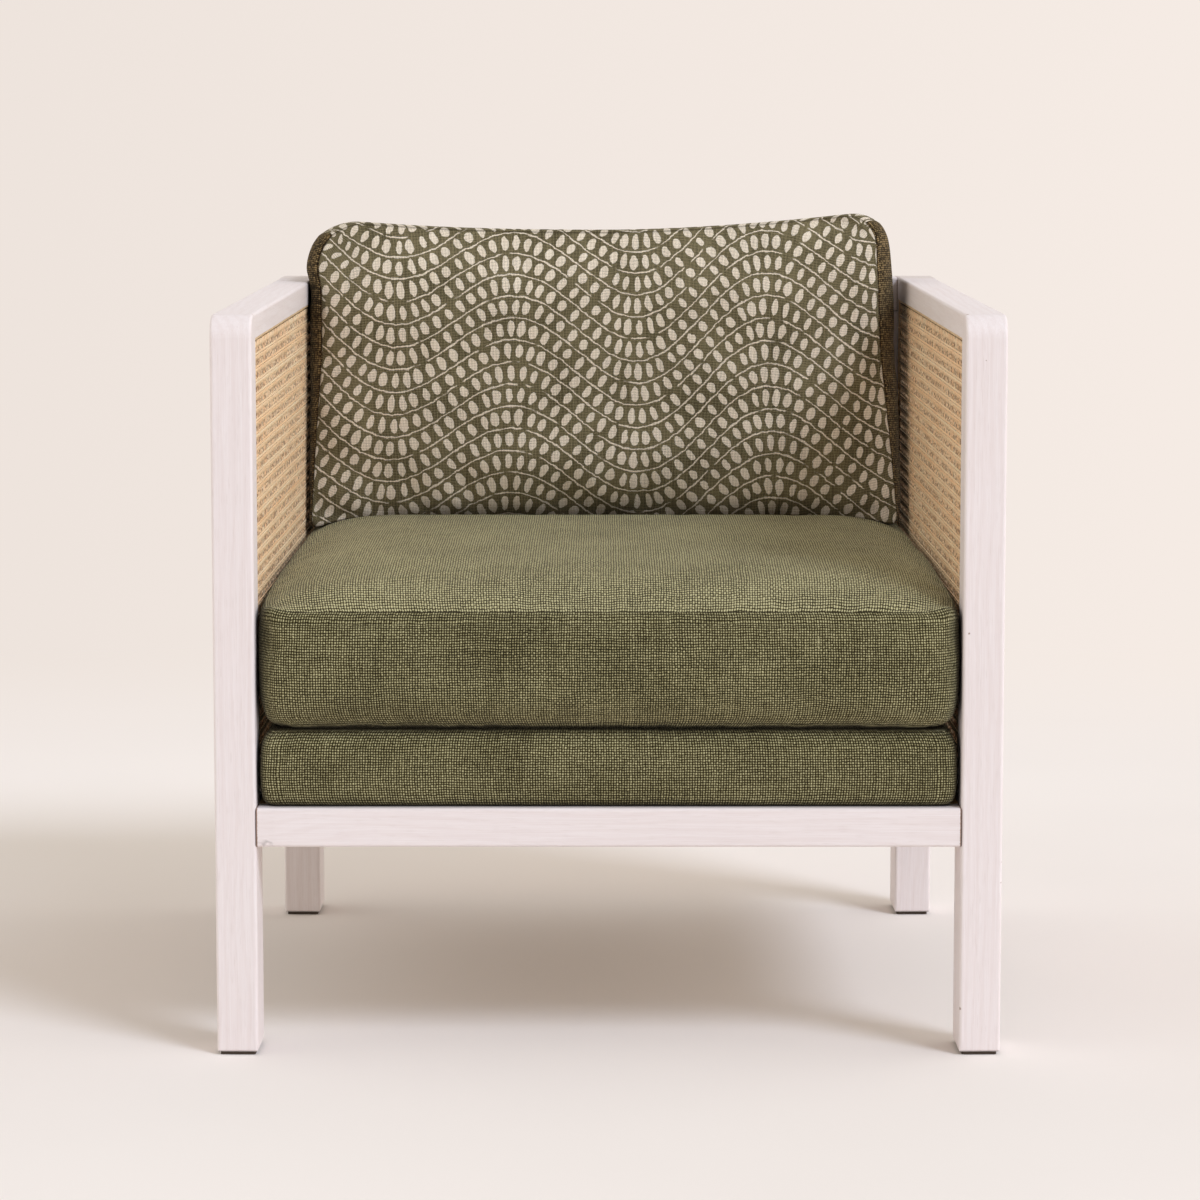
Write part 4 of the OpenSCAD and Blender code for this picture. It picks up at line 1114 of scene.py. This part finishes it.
    # The front seam draws in
    inward = points[rim][:, [0, 2]] - np.array([0.0, BACK_TOP - BACK_H / 2])
    inward /= np.linalg.norm(inward, axis=1)[:, None]
    free = ~held[rim]
    points[rim, 0] -= 0.0014 * inward[:, 0] * free
    points[rim, 2] -= 0.0010 * inward[:, 1] * free
    keep_inside(points, np.clip((points[:, 2] - ARM_H - 0.004) * 1.2, 0, 0.012))
    set_coordinates(made, points)
    subdivide(made)
    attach(made, "back_cushion")
    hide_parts("back_cushion_cover")


back_cushion()


# Base pad
BASE_GAP, BASE_R, BASE_H = 0.0035, 0.010, BASE_TOP - BASE_Z
# The cover reaches this far in under the pad from the front and rear, and from the sides
UNDER_Y, UNDER_X = 0.033, 0.037


def base_pad():
    y0, y1 = Y_FRONT + 0.0065, Y_BACK - 0.004
    width, depth = 2 * (inner_x(y0) - BASE_GAP), y1 - y0
    across = [2 * d / width - 1 for d in spread(width, NEAR, 0.016)]
    along = [d / depth for d in spread(depth, NEAR, 0.016)]
    # Rings from the underside to the top: height and inset
    levels = [(0.0, 0.0085), (0.0010, 0.0056), (0.0032, 0.0030), (0.0068, 0.0012), (0.0120, 0.0003)]
    levels += side_rings(6, 0.012, BASE_H - 0.022, 0.0008)
    for drop, inset in ((0.0165, 0.0004), (0.0120, 0.0014), (0.0080, 0.0028), (0.0048, 0.0045),
                        (0.0023, 0.0064), (0.0008, 0.0086), (0.0, 0.0118)):
        levels.append((BASE_H - drop, inset))
    form = Boxed(len(across) - 1, len(along) - 1, len(levels))

    def base_half(y, a):
        return inner_x(y) - BASE_GAP

    def ring_point(r, i, j):
        up, inset = levels[r]
        return *plan(across[i], along[j], y0, y1, base_half, inset, BASE_R), BASE_Z + up

    lengths = rim_lengths(form, across, along, width, depth)

    def ring_flat(r, k):
        return lengths[k] - width / 2 + 0.31, BASE_Z + levels[r][0], 1.0

    def panel_flat(i, j):
        return across[i] * width / 2, along[j] * depth, 1.0

    form.build(ring_point, ring_flat, panel_flat)
    made = add_mesh("base_pad", form.points, form.faces, form.flat, materials=[olive_base])
    # The underside is left open over the dust cover
    bm = bmesh.new()
    bm.from_mesh(made.data)
    opening = []
    for face, part in zip(bm.faces, form.part):
        x, y, _ = face.calc_center_median()
        if part == 1 and y0 + UNDER_Y < y < y1 - UNDER_Y and abs(x) < inner_x(y) - UNDER_X:
            opening.append(face)
    bmesh.ops.delete(bm, geom=opening, context="FACES")
    bm.to_mesh(made.data)
    bm.free()
    points = coordinates(made)
    up = points[:, 2] - BASE_Z
    front = unit((y0 + 0.02 - points[:, 1]) / 0.02) * np.sin(unit(up / BASE_H) * math.pi)
    points[:, 1] += front * waves(points * (1, 1, 2), 31, [(0.24, 0.0009), (0.09, 0.0005), (0.04, 0.0003)])
    set_coordinates(made, points)
    subdivide(made)
    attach(made, "frame")
    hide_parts("base_cover")


base_pad()


# Camera, floor and light
camera = add_object("camera", bpy.data.cameras.new("camera"))
configure(camera.data, lens=129.17, sensor_width=36.0, clip_end=100.0)
camera.location = (-0.00835, Y_FRONT - 4.0917, 0.9609)
camera.rotation_euler = (math.radians(90 - 7.18), 0, 0)
bpy.context.scene.camera = camera

DIM, PALE = "#EEE4DD", "#F5EBE4"
# Painted light: the backdrop pales from left to right, this far to each side of the view's middle
BACKDROP_HALF = 0.13


def studio_floor():
    """A pale floor that runs into the backdrop without an edge, far from the chair."""
    t = Material("studio_floor")
    haze = t.noise(object_point(t), 1.5, 2.0)
    t.finish(t.mix(t.span(haze, 0.3, 0.7), "#F2EAE5", "#F5EDE8"), 0.9, Specular_IOR_Level=0.0)
    place = t.node("NewGeometry")
    far = t.span(t.vector("LENGTH", place + (0.0, 1.0, 0.0)), 2.2, 3.6, smooth=True)
    way = t.vector("NORMALIZE", place - tuple(camera.location))
    # Far off the floor glows in the backdrop's colours, with painted light paler to the right
    glow = t.node("Emission", Color=t.mix(t.span(t.xyz(way)[0], -BACKDROP_HALF, BACKDROP_HALF), DIM, PALE))
    t.put(t.out.inputs[0], t.node("MixShader", (far, Value(t, t.shader.outputs[0]), glow)))
    return t.material


bpy.ops.mesh.primitive_plane_add(size=60, location=(0, 20, 0))
floor = bpy.context.object
floor.name = "studio_floor"
floor.data.materials.append(studio_floor())


def studio_light(world):
    """The pale backdrop that the camera sees, and the soft light that falls on the chair."""
    t = Tree(world)
    aside = t.xyz(t.node("TexCoord", out="Generated"))[0]
    # The backdrop the camera sees, with painted light paler to the right
    seen = t.node("Background", Color=t.mix(t.span(aside, -BACKDROP_HALF, BACKDROP_HALF), DIM, PALE))
    # The soft light is stronger from both sides than from the middle, and most from the right
    color = t.mix(aside * (aside + 0.10), (0.25, 0.2404, 0.2235, 1.0), (1.0, 0.9615, 0.894, 1.0))
    lit = t.node("Background", Color=color, Strength=1.737)
    ray = t.node("LightPath", out="Is Camera Ray")
    for kind in ("Glossy", "Transmission"):
        ray = t.math("MAXIMUM", ray, t.node("LightPath", out=f"Is {kind} Ray"))
    t.put(t.nodes.new("ShaderNodeOutputWorld").inputs[0], t.node("MixShader", (ray, lit, seen)))


world = bpy.data.worlds.new("studio")
bpy.context.scene.world = world
studio_light(world)

# The key light: a far, soft lamp above, in front and on the right
key = add_object("key", bpy.data.lights.new("key", "SUN"))
configure(key.data, energy=1.55, angle=math.radians(20), color=(0.748, 0.840, 1.0))
key.rotation_euler = mathutils.Vector((1.0, -1.0, 1.23)).to_track_quat("Z", "Y").to_euler()

bpy.context.scene.view_settings.view_transform = "Standard"
